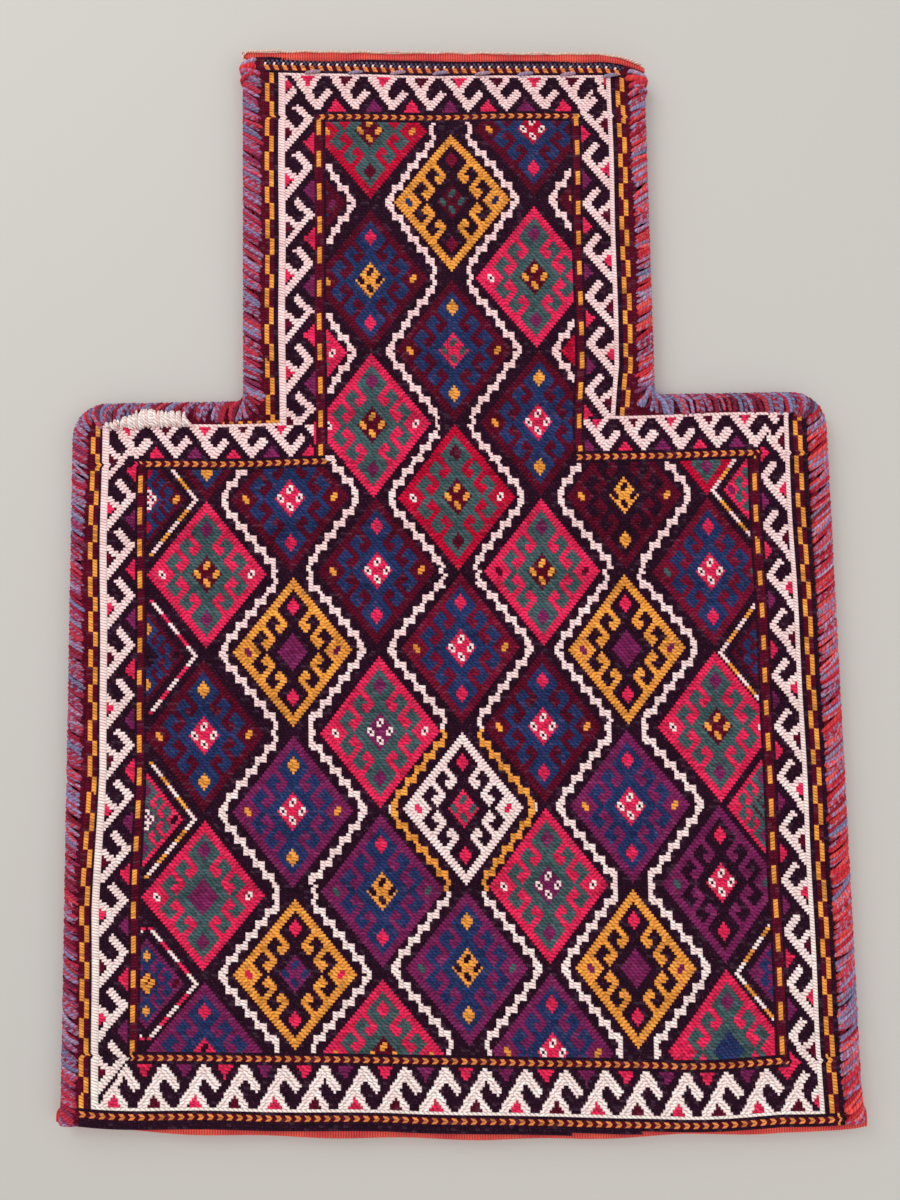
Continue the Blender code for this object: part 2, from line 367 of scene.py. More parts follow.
def warp_spread(x, y):
    """How far apart the warps stand here, as a share of their pitch on the loom."""
    share = np.clip((SHOULDER_Y - y) / (SHOULDER_Y - BOTTOM_Y), 0, 1)
    pull = RIGHT_PULL + (RIGHT_PULL_BOTTOM - RIGHT_PULL) * share
    in_body = np.clip((SHOULDER_Y - y) / NECK_EASE + 0.5, 0, 1)
    right = RIGHT_NECK_STRETCH * (1 - in_body) - pull * in_body
    left = LEFT_STRETCH * np.clip((LEFT_STRETCH_FROM - y) / LEFT_STRETCH_RUN, 0, 1)
    return 1 + np.where(x > 0, right, left)


def row_shift(x, y):
    """How far the rows are pushed up or down here."""
    at_bottom = bottom_line(x) - BOTTOM_Y - np.interp(x, *BOTTOM_DROPS)
    bottom = at_bottom * np.clip(BOTTOM_HOLD - (y - BOTTOM_Y) / BOTTOM_EASE, 0, 1)
    fall = MOUTH_SAG[0] + MOUTH_SAG[1] * np.clip(x / NECK_HALF + 1, 0, 1)
    droop = LEFT_DROOP * np.clip((-x - NECK_HALF) / LEFT_DROOP_RUN + 1, 0, 1) ** 2
    mouth = (mouth_line(x) - MOUTH_Y - fall - droop) * np.clip(1 - (MOUTH_Y - y) / MOUTH_EASE, 0, 1)
    shoulder = SHOULDER_RISE[0] * bump(y, SHOULDER_Y, SHOULDER_RISE[1]) * np.clip(x / NECK_HALF, 0, 1)
    return bottom + mouth + shoulder


def place_on_bag(across, up):
    """Where a place on the loom lies on the bag."""
    x = across * warp_spread(across, up)
    y = up + row_shift(across, up)
    x_drift = np.sin(29 * up + 1) * np.cos(13 * across) + 0.5 * np.sin(71 * up - 19 * across)
    y_drift = np.sin(33 * across + 2) * np.cos(11 * up) + 0.5 * np.sin(83 * across + 23 * up)
    return x + DRIFT * x_drift, y + DRIFT * y_drift


print("rows on the bag:", round((MOUTH_Y - BOTTOM_Y) / ROW), "warps:", round(2 * BOTTOM_HALF / WARP))

# %% [markdown]
# A `Cloth` is the weaver's squared paper: one cell for each crossing of a warp and a row. It knows where each
# cell lies on the loom and on the bag, which wool is in it and which way its stitch leans. To draw a motif
# is to dye the cells that a mask picks out, and what is drawn later covers what was there before.


# %% The cells of a cloth
def row_middle(up):
    """The middle of the row that crosses here."""
    return JOIN_Y + (np.floor((up - JOIN_Y) / ROW) + 0.5) * ROW


def warp_middle(across):
    """The middle of the warp that runs up here."""
    return (np.floor(across / WARP) + 0.5) * WARP


class Cloth:
    """The cells of a piece of cloth: places on the loom and on the bag, and the wool of each."""

    def __init__(self, across, up):
        self.across, self.up = np.meshgrid(across, up)
        self.x, self.y = place_on_bag(self.across, self.up)
        self.wool = np.full(self.x.shape, wool_number("black"))
        self.lean = np.full(self.x.shape, LEAN)

    def dye(self, mask, name):
        self.wool[mask] = wool_number(name)

    def lean_back(self, mask):
        self.lean[mask] = -LEAN


# %% [markdown]
# The field holds rows of hooked lozenges, set like bricks: every second row is shifted by one column. All
# of them share one drawing, so it is made once, in the lozenge's own measures. There `ring` counts from 0
# at the middle to 1 at the edge, and `turn` runs from -1 at the side tips to 1 at the upper and lower ones.
# A hook is then three straight bars: an arm that comes in from the frame, a foot across its end, and a curl.
# A dot is three rows of two, three and two stitches, and a ring has one dark stitch in the middle of that.
# The lozenge is as much taller than wide as a row is taller than a warp, so its edges climb by exactly one
# warp a row.

# %% One hooked lozenge
LOZENGE_HALF_HEIGHT = 0.0380
LOZENGE_HALF_WIDTH = LOZENGE_HALF_HEIGHT * WARP / ROW
FRAME_INNER = 0.84
HOOK_ARMS = (0.25, -0.16)
HOOK_HALF = 0.064
FOOT_RING = 0.50
FOOT_LENGTH = 0.18
CURL_RING = 0.64
SIDE_BLOCK = 0.55
SIDE_DOT = 0.75
END_MIDDLE = 0.61
END_HALF = 0.13
CENTRE_RING = 0.275
CENTRE_DOTS = ((0.14, 0), (0, 0.125))
DOT_REACH = 1.5
HOLE_REACH = 0.5


def draw_lozenge(cloth, middle, size, colours):
    """Dyes the cells of one lozenge: frame, ground, centre, its dots, the ends and the side dots."""
    frame_wool, ground, centre, dots, ends, sides = colours.split()
    sideways = cloth.across - middle[0]
    upwards = cloth.up - middle[1]
    wide = LOZENGE_HALF_WIDTH * size
    tall = LOZENGE_HALF_HEIGHT * size
    u = np.abs(sideways) / wide
    v = np.abs(upwards) / tall
    ring = u + v
    turn = v - u
    cloth.lean_back((sideways * upwards > 0) & (ring < 1) & (ring > FRAME_INNER))

    def fill(mask, name):
        cloth.dye(mask & (ring < 1), name)

    def dot(at_u, at_v, name):
        """A dot on both sides of the middle, at this share of the lozenge's half width or half height."""
        over = u * wide if at_u else sideways
        high = v * tall if at_v else upwards
        warps = over / WARP - round(at_u * wide / WARP)
        rows = high / ROW - round(at_v * tall / ROW)
        from_middle = np.maximum(np.abs(warps), np.abs(rows))
        fill((from_middle < DOT_REACH) & (warps * rows > -HOLE_REACH), "ivory" if name == "ring" else name)
        if name == "ring":
            fill(from_middle < HOLE_REACH, "black")

    fill(ring < 1, ground)
    fill(ring > FRAME_INNER, frame_wool)
    for arm in HOOK_ARMS:
        fill((np.abs(turn - arm) < HOOK_HALF) & (ring > FOOT_RING), frame_wool)
        along_foot = (turn < arm + HOOK_HALF) & (turn > arm - FOOT_LENGTH - HOOK_HALF)
        fill(along_foot & (np.abs(ring - FOOT_RING) < HOOK_HALF), frame_wool)
        on_curl = np.abs(turn - arm + FOOT_LENGTH) < HOOK_HALF
        fill(on_curl & (ring > FOOT_RING) & (ring < CURL_RING), frame_wool)
    fill(turn < -SIDE_BLOCK, frame_wool)
    dot(SIDE_DOT, 0, sides)
    fill(u + np.abs(v - END_MIDDLE) < END_HALF, ends)
    fill(ring < CENTRE_RING, centre)
    for at_u, at_v in CENTRE_DOTS:
        dot(at_u, at_v, dots)


print("lozenge, mm:", round(2000 * LOZENGE_HALF_WIDTH, 1), round(2000 * LOZENGE_HALF_HEIGHT, 1))

# %% [markdown]
# The lozenges stand in columns and rows, at even distances on squared paper. A hand-woven one keeps to that
# only roughly. So each row of lozenges lies a little lower than its even place, more on one side of the bag
# than on the other, and the columns drift in the body. Evenly spaced, the field would look machine-made.

# %% Where the lozenges stand
COLUMN_PITCH = 0.0433
ROW_PITCH = 0.0395
MIDDLE_COLUMN = 3
MIDDLE_ROW = 6
FIELD_MIDDLE = (0.0033, -0.0004)
ROW_DROPS = (1.0, 1.0, 2.4, 3.1, 2.4, 1.3, 0.3, 1.0, 1.8, 1.8, 2.1, 2.9, 4.2)
LEFT_DROPS = (0, 0, 0, 0, 0, -1.2, -1.4, 0, 1.5, 2.2, 2.0, 1.0, 0.2)
RIGHT_DROPS = (0, 0, 0, 0, 0, 0.8, 2.2, 1.8, 1.0, 0.6, 0.6, 1.6, 1.6)
COLUMN_DRIFTS = (-1.0, 1.0, 2.0, 1.4, -0.8, -1.5, 0.4)
DRIFT_FROM_ROW = 5
DRIFT_ROWS = 2
MILLIMETRE = 0.001


def hand_drop(column, row):
    """How far below its even place the weaver set this lozenge, in millimetres."""
    rows = np.arange(len(ROW_DROPS))
    from_middle = (column - MIDDLE_COLUMN) / MIDDLE_COLUMN
    side = np.interp(row, rows, LEFT_DROPS if from_middle < 0 else RIGHT_DROPS)
    return np.interp(row, rows, ROW_DROPS) + side * abs(from_middle)


def on_loom(x, y):
    """The whole warp and row on the loom that lie at this place on the bag."""
    return warp_middle(x / warp_spread(x, y)), row_middle(y - row_shift(x, y))


def lozenge_middle(column, row):
    """The middle of a lozenge on the loom."""
    drift = COLUMN_DRIFTS[column] * np.clip((row - DRIFT_FROM_ROW) / DRIFT_ROWS, 0, 1)
    x = FIELD_MIDDLE[0] + COLUMN_PITCH * (column - MIDDLE_COLUMN) + drift * MILLIMETRE
    y = FIELD_MIDDLE[1] - ROW_PITCH * (row - MIDDLE_ROW) - hand_drop(column, row) * MILLIMETRE
    return on_loom(x, y)


print("middle lozenge on the loom, mm:", [round(1000 * value, 1) for value in lozenge_middle(3, 6)])

# %% [markdown]
# Which wools go into which lozenge was the weaver's choice. The plan below names them for each one, by its
# row from the mouth down: frame, ground, centre, dots of the centre, ends and side dots.

# %% The weaver's plan of colours
RED_GREEN = "red green maroon orange purple ring"
RED_PURPLE = "red green purple ring purple ring"
DARK_RING = "maroon navy red ring red orange"
DARK_ORANGE = "maroon navy red ring orange orange"
ORANGE_BLACK = "orange black purple purple red purple"
PURPLE_RING = "purple navy red ring red orange"
PURPLE_ORANGE = "purple navy orange black red green"
PLAN = {
    0: {2: "crimson green maroon orange maroon orange", 4: "maroon navy crimson ring red orange"},
    1: {1: "maroon navy red ring red purple", 3: "orange black maroon green garnet navy", 5: DARK_RING},
    2: {2: "maroon navy orange black red orange", 4: RED_GREEN},
    3: {1: RED_GREEN, 3: "maroon navy red green orange orange", 5: "crimson green maroon orange purple red"},
    4: {0: DARK_ORANGE, 2: RED_GREEN, 4: DARK_ORANGE, 6: "crimson green maroon orange purple orange"},
    5: {
        1: DARK_RING,
        3: "crimson green maroon orange maroon ring",
        5: "maroon black orange black orange orange",
    },
    6: {
        0: RED_GREEN,
        2: DARK_RING,
        4: "red green maroon orange purple maroon",
        6: "garnet navy red ring red green",
    },
    7: {1: ORANGE_BLACK, 3: "garnet navy red ring red orange", 5: ORANGE_BLACK},
    8: {0: DARK_ORANGE, 2: RED_PURPLE, 4: DARK_RING, 6: RED_GREEN},
    9: {1: "purple navy red ring orange orange", 3: "ivory black red green red red", 5: PURPLE_RING},
    10: {
        0: "red green purple purple purple ring",
        2: PURPLE_ORANGE,
        4: RED_PURPLE,
        6: "purple black red ring red green",
    },
    11: {1: "orange black purple navy red red", 3: "purple navy orange black orange green", 5: ORANGE_BLACK},
    12: {
        0: "purple navy red black red orange",
        2: "red green maroon orange red orange",
        4: PURPLE_RING,
        6: "red green navy navy purple red",
    },
}
print("lozenges:", sum(len(row) for row in PLAN.values()))

# %% [markdown]
# Between the columns an ivory line climbs in steps. It swings out round the side tips of one column and in
# between the tips of the next, and always starts its steps at the tips of the odd columns.

# %% The stepped lines between the lozenges
TREAD_COUNT = 5.5
STEP_LIMIT = 6
TIP_HALF = 0.0022
STEP_RISE = 0.0060
NECK_REACH = 0.0336
BODY_REACH = 0.0360
INNER_REACH = 0.0090
REACH_FROM_ROW = 4
REACH_ROWS = 3
RISER_SLOPE = 0.5 * WARP
LINE_HALF = WARP
TREAD_HALF = 0.55 * ROW
LOZENGE_COLUMNS = 7
ORANGE_LINE_REACH = (0.037, 0.0405)
IVORY_LOZENGE = (3, 9)


def reach_at(step, outer):
    """How far the line stands from the middle of the odd column after so many steps."""
    return outer - np.clip(step - 0.5, 0, None) * (outer - INNER_REACH) / TREAD_COUNT


def draw_stepped_line(cloth, column):
    """The ivory line between this column and the next one."""
    odd = column if column % 2 else column + 1
    side = 1 if odd == column else -1
    row = (FIELD_MIDDLE[1] - cloth.y) / ROW_PITCH + MIDDLE_ROW
    middle_across, middle_up = lozenge_middle(odd, 2 * np.round((row - 1) / 2) + 1)
    away = np.abs(cloth.up - middle_up)
    out = (cloth.across - middle_across) * side
    outer = NECK_REACH + (BODY_REACH - NECK_REACH) * np.clip((row - REACH_FROM_ROW) / REACH_ROWS, 0, 1)
    climb = (away - TIP_HALF) / STEP_RISE
    step = np.clip(np.floor(climb) + 1, 0, STEP_LIMIT)
    lean = RISER_SLOPE * np.sign((climb + 1) % 1 - 0.5) * (step > 0)
    line = np.abs(out - reach_at(step, outer) + lean) < LINE_HALF
    for number in range(STEP_LIMIT):
        level = TIP_HALF + number * STEP_RISE
        on_tread = out < reach_at(number, outer) + LINE_HALF - RISER_SLOPE
        on_tread &= out > reach_at(number + 1, outer) - LINE_HALF + RISER_SLOPE
        line |= (np.abs(away - level) < TREAD_HALF) & on_tread
    cloth.dye(line, "ivory")


def draw_stepped_lines(cloth):
    """All stepped lines, with the part round the ivory lozenge in orange."""
    for column in range(LOZENGE_COLUMNS - 1):
        draw_stepped_line(cloth, column)
    middle_across, middle_up = lozenge_middle(*IVORY_LOZENGE)
    near = np.abs(cloth.across - middle_across) < ORANGE_LINE_REACH[0]
    near &= np.abs(cloth.up - middle_up) < ORANGE_LINE_REACH[1]
    cloth.dye(near & (cloth.wool == wool_number("ivory")), "orange")


print("stepped lines:", LOZENGE_COLUMNS - 1)

# %% [markdown]
# The border cuts the field off, and there the weaver set halves of smaller lozenges between the whole ones,
# with a thin straight line round each, in dashes of two colours. Every half has its own place, given here
# as the middle of its lozenge in millimetres, and the wool that alternates with ivory in its line.

# %% The half lozenges at the field's edges
HALF_SIZE = 0.0186 / LOZENGE_HALF_WIDTH
HALF_LINE_RING = 1.32
HALF_LINE_WIDTH = 0.052
HALF_LINE_END = 1.28
HALF_DASH = 0.24
HALVES = (
    (-156.7, 38.5, "orange", "maroon navy crimson ring crimson orange"),
    (-156.5, -42.0, "red", "maroon navy black black orange black"),
    (-157.5, -124.0, "orange", "red green purple ring purple black"),
    (-156.7, -204.7, "red", "purple navy maroon orange orange maroon"),
    (160.0, 39.1, "orange", "red green red green purple purple"),
    (160.6, -44.5, "orange", "maroon navy crimson ring crimson black"),
    (155.1, -123.1, "", "red green maroon green purple red"),
    (162.8, -204.7, "orange", "purple navy orange black orange purple"),
)


def draw_half(cloth, x, y, line_wool, colours):
    """A half lozenge and the dashed line round it."""
    middle_across, middle_up = on_loom(x * MILLIMETRE, y * MILLIMETRE)
    u = np.abs(cloth.across - middle_across) / (LOZENGE_HALF_WIDTH * HALF_SIZE)
    v = np.abs(cloth.up - middle_up) / (LOZENGE_HALF_HEIGHT * HALF_SIZE)
    cloth.dye(u + v < HALF_LINE_RING + HALF_LINE_WIDTH, "black")
    if line_wool:
        on_line = (np.abs(u + v - HALF_LINE_RING) < HALF_LINE_WIDTH) & (v < HALF_LINE_END)
        dash = np.floor(v / HALF_DASH) % 2 == 0
        cloth.dye(on_line & dash, "ivory")
        cloth.dye(on_line & ~dash, line_wool)
    draw_lozenge(cloth, (middle_across, middle_up), HALF_SIZE, colours)


def draw_field(cloth):
    draw_stepped_lines(cloth)
    for half in HALVES:
        draw_half(cloth, *half)
    for row, columns in PLAN.items():
        for column, colours in columns.items():
            draw_lozenge(cloth, lozenge_middle(column, row), 1.0, colours)


print("half lozenges:", len(HALVES))

# %% [markdown]
# A border of ivory hooks runs round the whole front. One hook is three bars again: a long one that comes
# down from the ivory line, a short one beside it, and the hook that turns back from its foot. Distances to
# the bars are added along x and y instead of taken straight, which cuts their ends square and their corners
# sharp, as stitches do. Small triangles in red fill the gaps.

# %% One repeat of the hook border
LEVEL_HOOK = (
    ((-0.60, -0.05), (-0.01, 0.93), 1.0),
    ((0.10, -0.12), (-0.22, 0.42), 0.75),
    ((-0.01, 0.93), (0.27, 0.53), 1.0),
)
UPRIGHT_HOOK = (
    ((-0.66, -0.05), (-0.01, 0.93), 1.0),
    ((0.03, -0.12), (-0.24, 0.46), 0.85),
    ((-0.01, 0.93), (0.25, 0.50), 1.0),
)
UPPER_TRIANGLE = (-0.24, 0.18, 0.40)
LOWER_TRIANGLE = (0.5, 0.18, 0.30)


def bar_distance(across, down, bar, period, depth):
    """Distance from a bar, whose ends are given in periods across and depths down."""
    start = np.array(bar[0]) * (period, depth)
    run = np.array(bar[1]) * (period, depth) - start
    share = ((across - start[0]) * run[0] + (down - start[1]) * run[1]) / (run @ run)
    share = np.clip(share, 0, 1)
    away = np.abs(across - start[0] - share * run[0]) + np.abs(down - start[1] - share * run[1])
    return away / math.sqrt(2)


def draw_hooks(cloth, where, along, down, first, period, depth, bar_half, upright):
    """The hook border. `down` counts from the ivory line inwards."""
    cloth.dye(where, "black")
    if not where.any():
        return
    nearest = np.round((along - first) / period)
    for neighbour in (-1, 0, 1):
        count = nearest + neighbour
        place = (along - first) / period - count
        even = count % 2 == 0
        for (at, half, tall), low, (bright, dark) in (
            (UPPER_TRIANGLE, down / depth, ("red", "maroon")),
            (LOWER_TRIANGLE, 1 - down / depth, ("red", "purple")),
        ):
            inside = where & (np.abs(place - at) / half + low / tall < 1)
            cloth.dye(inside & even, bright)
            cloth.dye(inside & ~even, dark)
    for neighbour in (-1, 0, 1):
        place = along - first - (nearest + neighbour) * period
        for number, (start, end, share) in enumerate(UPRIGHT_HOOK if upright else LEVEL_HOOK):
            on_bar = where & (bar_distance(place, down, (start, end), period, depth) < bar_half * share)
            cloth.dye(on_bar, "ivory")
            cloth.lean[on_bar] = LEAN * (1 if number else -1) * np.where(upright, np.sign(cloth.x[on_bar]), 1)


# %% [markdown]
# The border has other bands too: a stepped orange guard outside the ivory line, and inside the hooks a
# guard of dashes up the sides or of arrowheads along the top and bottom. The weaver never measured them, so
# each of the four sides has its own widths. They are counted inwards from the ivory line, and so are
# negative outside it. Where two edges meet, each stitch goes to the edge that it is nearer to, counted in
# shares of the band, which mitres the corner.

# %% The bands up the sides
BODY_LINE = 151 * WARP
NECK_LINE = 74 * WARP
GUARD_LONG_SHARE = 0.54
DASH_HALF = 0.0012
INNER_HALF = 0.0021
SIDE_BANDS = {
    "left side": {"guard": (-0.0047, -0.0028), "half": 0.0010, "line": 0.0031, "tip": 0.0167, "dash": 0.0208},
    "right side": {"guard": (-0.0066, -0.0042), "half": 0.0012, "line": 0.0025, "tip": 0.0148, "dash": 0.0190},
    "left neck": {"guard": (-0.0060, -0.0034), "half": 0.0013, "line": 0.0031, "tip": 0.0174, "dash": 0.0216},
    "right neck": {"guard": (-0.0062, -0.0035), "half": 0.0013, "line": 0.0025, "tip": 0.0160, "dash": 0.0196},
}
HOOK_STARTS = {
    "left side": (0.0416, 0.02569),
    "right side": (0.0460, 0.02565),
    "left neck": (0.2170, 0.0262),
    "right neck": (0.2198, 0.02526),
    "top": (-0.0677, 0.02025),
    "left shoulder": (-0.1626, 0.01994),
    "right shoulder": (0.0816, 0.0194),
    "bottom": (-0.1671, 0.01995),
}
GUARD_STARTS = {
    "left side": (-0.0102, 0.0184),
    "right side": (0.0, 0.0189),
    "left neck": (0.0079, 0.0189),
    "right neck": (0.1702, 0.0172),
}
DASH_STARTS = {
    "left side": (-0.0026, 0.0167),
    "right side": (-0.0068, 0.0167),
    "left neck": (0.2382, 0.0175),
    "right neck": (0.2248, 0.01645),
}
STRIP_START = -0.0098
DASH_SHARE = 0.25


def draw_side_bands(cloth, where, depth, name, bar_half):
    """Guard, ivory line, hooks and dashes that run up an edge. Depth counts inwards from the ivory line."""
    bands = SIDE_BANDS[name]
    inside = where & (depth < bands["dash"] + INNER_HALF + WARP)
    cloth.dye(inside, "black")
    half = bands["half"]
    outer, inner = bands["guard"]
    cloth.dye(inside & (depth < inner + half), "maroon")
    first, period = GUARD_STARTS[name]
    long_part = ((cloth.y - first) / period) % 1 < GUARD_LONG_SHARE
    middle = np.where(long_part, outer, inner)
    cloth.dye(inside & (np.abs(depth - middle) < half), "orange")
    if name == "right side":
        cloth.dye(inside & (depth < outer - half), "black")
        cloth.dye(inside & (depth < STRIP_START), "brick")
    first, period = HOOK_STARTS[name]
    hooks = inside & (depth > bands["line"]) & (depth < bands["tip"] + WARP)
    down = depth - bands["line"]
    draw_hooks(cloth, hooks, cloth.y, down, first, period, bands["tip"] - bands["line"], bar_half, True)
    cloth.dye(inside & (depth > 0) & (depth < bands["line"]), "cream")
    first, period = DASH_STARTS[name]
    from_dash = np.abs(depth - bands["dash"])
    cloth.dye(inside & (from_dash < INNER_HALF), "maroon")
    on_dash = np.abs(((cloth.y - first) / period + 0.5) % 1 - 0.5) < DASH_SHARE
    cloth.dye(inside & on_dash & (from_dash < DASH_HALF), "orange")
    cloth.lean_back(inside & (from_dash < INNER_HALF))


print("upright edges:", list(SIDE_BANDS))

# %% [markdown]
# The level bands are counted in whole rows, because each needs its own: one row makes the ivory cord, and
# two rows make the arrowheads, the upper one leaning one way and the lower one the other. The leaning is
# done later, by `lean_of_rows`, when the cells get their shape.

# %% The level bands
LEVEL_BANDS = {
    "top": {"line": 0.0120, "hooks": 0.0135, "tip": 0.0322, "arrows": 0.0364},
    "shoulder": {"line": 0.0113, "hooks": 0.0128, "tip": 0.0290, "arrows": 0.0321},
    "bottom": {"line": 0.0100, "hooks": 0.0120, "tip": 0.0318, "arrows": 0.0345},
}
ARROW_ROWS = 2
ARROW_WARPS = 4
FLECK_ROW = 0.0052
TWINE_START = 0.0072
BOTTOM_ARROWS = 0.0055
EDGE_STARTS = {"top": (MOUTH_Y, -1), "shoulder": (SHOULDER_Y, -1), "bottom": (BOTTOM_Y, 1)}
FLECK_REACH = (-0.098, 0.100)
FOOT_DASHES = 0.030
TOP_ROWS_REACH = 0.0075
BOTTOM_ROWS_REACH = 0.0060


def rows_from(kind, depth):
    """The first row line at this depth, and the direction in which the rows count inwards."""
    edge, inwards = EDGE_STARTS[kind]
    return JOIN_Y + round((edge + inwards * depth - JOIN_Y) / ROW) * ROW, inwards


def row_count(cloth, kind, depth):
    """The number of each cell's row, counted inwards from this depth."""
    start, inwards = rows_from(kind, depth)
    return np.floor((cloth.up - start) * inwards / ROW)


def draw_arrows(cloth, where, kind, depth, folded=True):
    """Two rows of orange on maroon, which lean against each other where they are folded."""
    count = row_count(cloth, kind, depth)
    band = where & (count >= 0) & (count < ARROW_ROWS)
    cloth.dye(band, "maroon")
    pair = np.floor(cloth.across / WARP) % ARROW_WARPS < ARROW_WARPS / 2
    cloth.dye(band & pair, "amber")
    cloth.lean_back(band & folded & (count == (ARROW_ROWS - 1 if kind != "bottom" else 0)))


def draw_level_bands(cloth, where, depth, kind, name, bar_half):
    """Ivory cord, hooks and arrowheads that run along a level edge. Depth counts inwards from the edge."""
    bands = LEVEL_BANDS[kind]
    count = row_count(cloth, kind, bands["arrows"])
    inside = where & (count <= ARROW_ROWS)
    cloth.dye(inside, "black")
    first, period = HOOK_STARTS[name]
    hooks = inside & (depth > bands["hooks"]) & (depth < bands["tip"] + ROW)
    down = depth - bands["hooks"]
    draw_hooks(cloth, hooks, cloth.x, down, first, period, bands["tip"] - bands["hooks"], bar_half, False)
    cloth.dye(inside & (row_count(cloth, kind, bands["line"]) == 0), "cream")
    draw_arrows(cloth, inside, kind, bands["arrows"])


def draw_outer_rows(cloth, in_neck, from_line):
    """The rows outside the ivory cord: flecks and slanted twining by the mouth, arrowheads by the fold."""
    rows = in_neck & (row_count(cloth, "top", LEVEL_BANDS["top"]["line"]) < 0) & (from_line > -TOP_ROWS_REACH)
    cloth.dye(rows, "black")
    count = row_count(cloth, "top", FLECK_ROW)
    flecks = rows & (count >= -1) & (count <= 0) & (cloth.x > FLECK_REACH[0]) & (cloth.x < FLECK_REACH[1])
    cloth.dye(flecks & ((np.floor(cloth.across / WARP) + count) % 2 == 0), "slate")
    cloth.dye(flecks & (count == 0) & (np.floor(cloth.across / WARP) % 4 == 0), "ivory")
    draw_arrows(cloth, rows, "top", TWINE_START, False)
    rows = ~in_neck & (row_count(cloth, "bottom", LEVEL_BANDS["bottom"]["line"]) < 0)
    rows &= from_line > -BOTTOM_ROWS_REACH
    cloth.dye(rows, "black")
    draw_arrows(cloth, rows, "bottom", BOTTOM_ARROWS)


print("level edges:", list(LEVEL_BANDS))

# %% [markdown]
# Now all of it comes together, in the order in which one part covers another: the field first, then the
# bands of each edge over its ends, and the outer rows last. At the foot of the neck the upright bands run on
# past the shoulder's ivory cord until they meet its hooks, as the weaver let them.

# %% The whole front, cell by cell
BAR_HALF = 0.0020
UPRIGHT_BAR_HALF = 0.0018
BOTTOM_BAR_HALF = 0.0022


def band_share(depth, start, tip):
    """How far this depth is through the hooks, from 0 to 1."""
    return (depth - start) / (tip - start)


def draw_front(cloth):
    """Dyes every cell of the front."""
    draw_field(cloth)
    top, shoulder, bottom = (LEVEL_BANDS[kind] for kind in ("top", "shoulder", "bottom"))
    from_top = MOUTH_Y - cloth.up
    from_bottom = cloth.up - BOTTOM_Y
    from_shoulder = SHOULDER_Y - cloth.up
    in_neck = row_count(cloth, "shoulder", shoulder["line"]) < 0
    above_hooks = row_count(cloth, "shoulder", shoulder["hooks"]) < 0
    above_arrows = row_count(cloth, "shoulder", shoulder["arrows"]) < -1
    neck_line = NECK_LINE - np.abs(cloth.across)
    body_line = BODY_LINE - np.abs(cloth.across)
    for side, on_side in (("left", cloth.across < 0), ("right", cloth.across > 0)):
        neck = SIDE_BANDS[side + " neck"]
        body = SIDE_BANDS[side + " side"]
        within_line = neck_line > neck["line"]
        along_dashes = neck_line > neck["dash"] - INNER_HALF - WARP
        runs_on = ~in_neck & on_side & (within_line & above_hooks | along_dashes & above_arrows)
        draw_side_bands(cloth, (in_neck | runs_on) & on_side, neck_line, side + " neck", UPRIGHT_BAR_HALF)
        draw_side_bands(cloth, ~in_neck & on_side, body_line, side + " side", UPRIGHT_BAR_HALF)
        side_share = band_share(body_line, body["line"], body["tip"])
        in_shoulder = ~in_neck & ~runs_on & on_side & (neck_line < neck["dash"] + INNER_HALF)
        mitred = side_share > band_share(from_shoulder, shoulder["hooks"], shoulder["tip"])
        where = in_shoulder & mitred
        draw_level_bands(cloth, where, from_shoulder, "shoulder", side + " shoulder", BAR_HALF)
        mitred = side_share > band_share(from_bottom, bottom["hooks"], bottom["tip"])
        draw_level_bands(cloth, ~in_neck & on_side & mitred, from_bottom, "bottom", "bottom", BOTTOM_BAR_HALF)
        neck_share = band_share(neck_line, neck["line"], neck["tip"])
        mitred = neck_share > band_share(from_top, top["hooks"], top["tip"])
        draw_level_bands(cloth, in_neck & on_side & mitred, from_top, "top", "top", BAR_HALF)
    draw_outer_rows(cloth, in_neck, np.where(in_neck, neck_line, body_line))
    above_cord = row_count(cloth, "shoulder", shoulder["line"] - ROW) == 0
    foot = above_cord & (neck_line < 0) & (neck_line > -FOOT_DASHES) & (cloth.across < 0)
    cloth.dye(foot & (np.floor(cloth.across / WARP) % ARROW_WARPS < 2), "orange")


# %% [markdown]
# An arrowhead is two rows of slanted stitches, one leaning left and one leaning right. A colour alone can't
# show that, because a cell is upright. So the line between the two rows is pushed sideways by a warp.


# %% Rows that lean
def lean_of_rows(up):
    """How far the warps are pushed sideways at this height, to turn pairs of rows into arrowheads."""
    lean = np.zeros_like(up)
    for kind, depth, push in (
        ("top", TWINE_START, (-0.5, 0.0, 0.5)),
        ("top", LEVEL_BANDS["top"]["arrows"], (0.0, 1.0, 0.0)),
        ("shoulder", LEVEL_BANDS["shoulder"]["arrows"], (0.0, 1.0, 0.0)),
        ("bottom", LEVEL_BANDS["bottom"]["arrows"], (0.0, 1.0, 0.0)),
        ("bottom", BOTTOM_ARROWS, (0.0, 1.0, 0.0)),
    ):
        start, inwards = rows_from(kind, depth)
        lines = start + inwards * ROW * np.arange(-1, 4)
        pushes = np.array([0.0, *push, 0.0])
        order = np.argsort(lines)
        lean += WARP * np.interp(up, lines[order], pushes[order], 0, 0)
    return lean


print("arrowheads:", ARROW_ROWS, "rows by", ARROW_WARPS, "warps")

# %% [markdown]
# Now the cloth itself: a grid with one column for each warp and two lines of points for each row. A stitch
# wraps two warps, so neighbours of one colour in a row join in pairs, and the last of an odd run takes
# three. The points along the middle of a row stand up in a ridge that sinks where a stitch ends, which
# gives every stitch its swelling in the mesh. The finer lean of the yarn goes into a second UV map named
# Stitch, which runs from 0 to 1 along and across each stitch and is skewed by the lean.

# %% The stitches of a row
RIDGE = 0.00042
STITCH_END_SHARE = 0.35
FRONT_BASE = CLOTH_TOP - RIDGE - 0.0002
WAVE = 0.00045


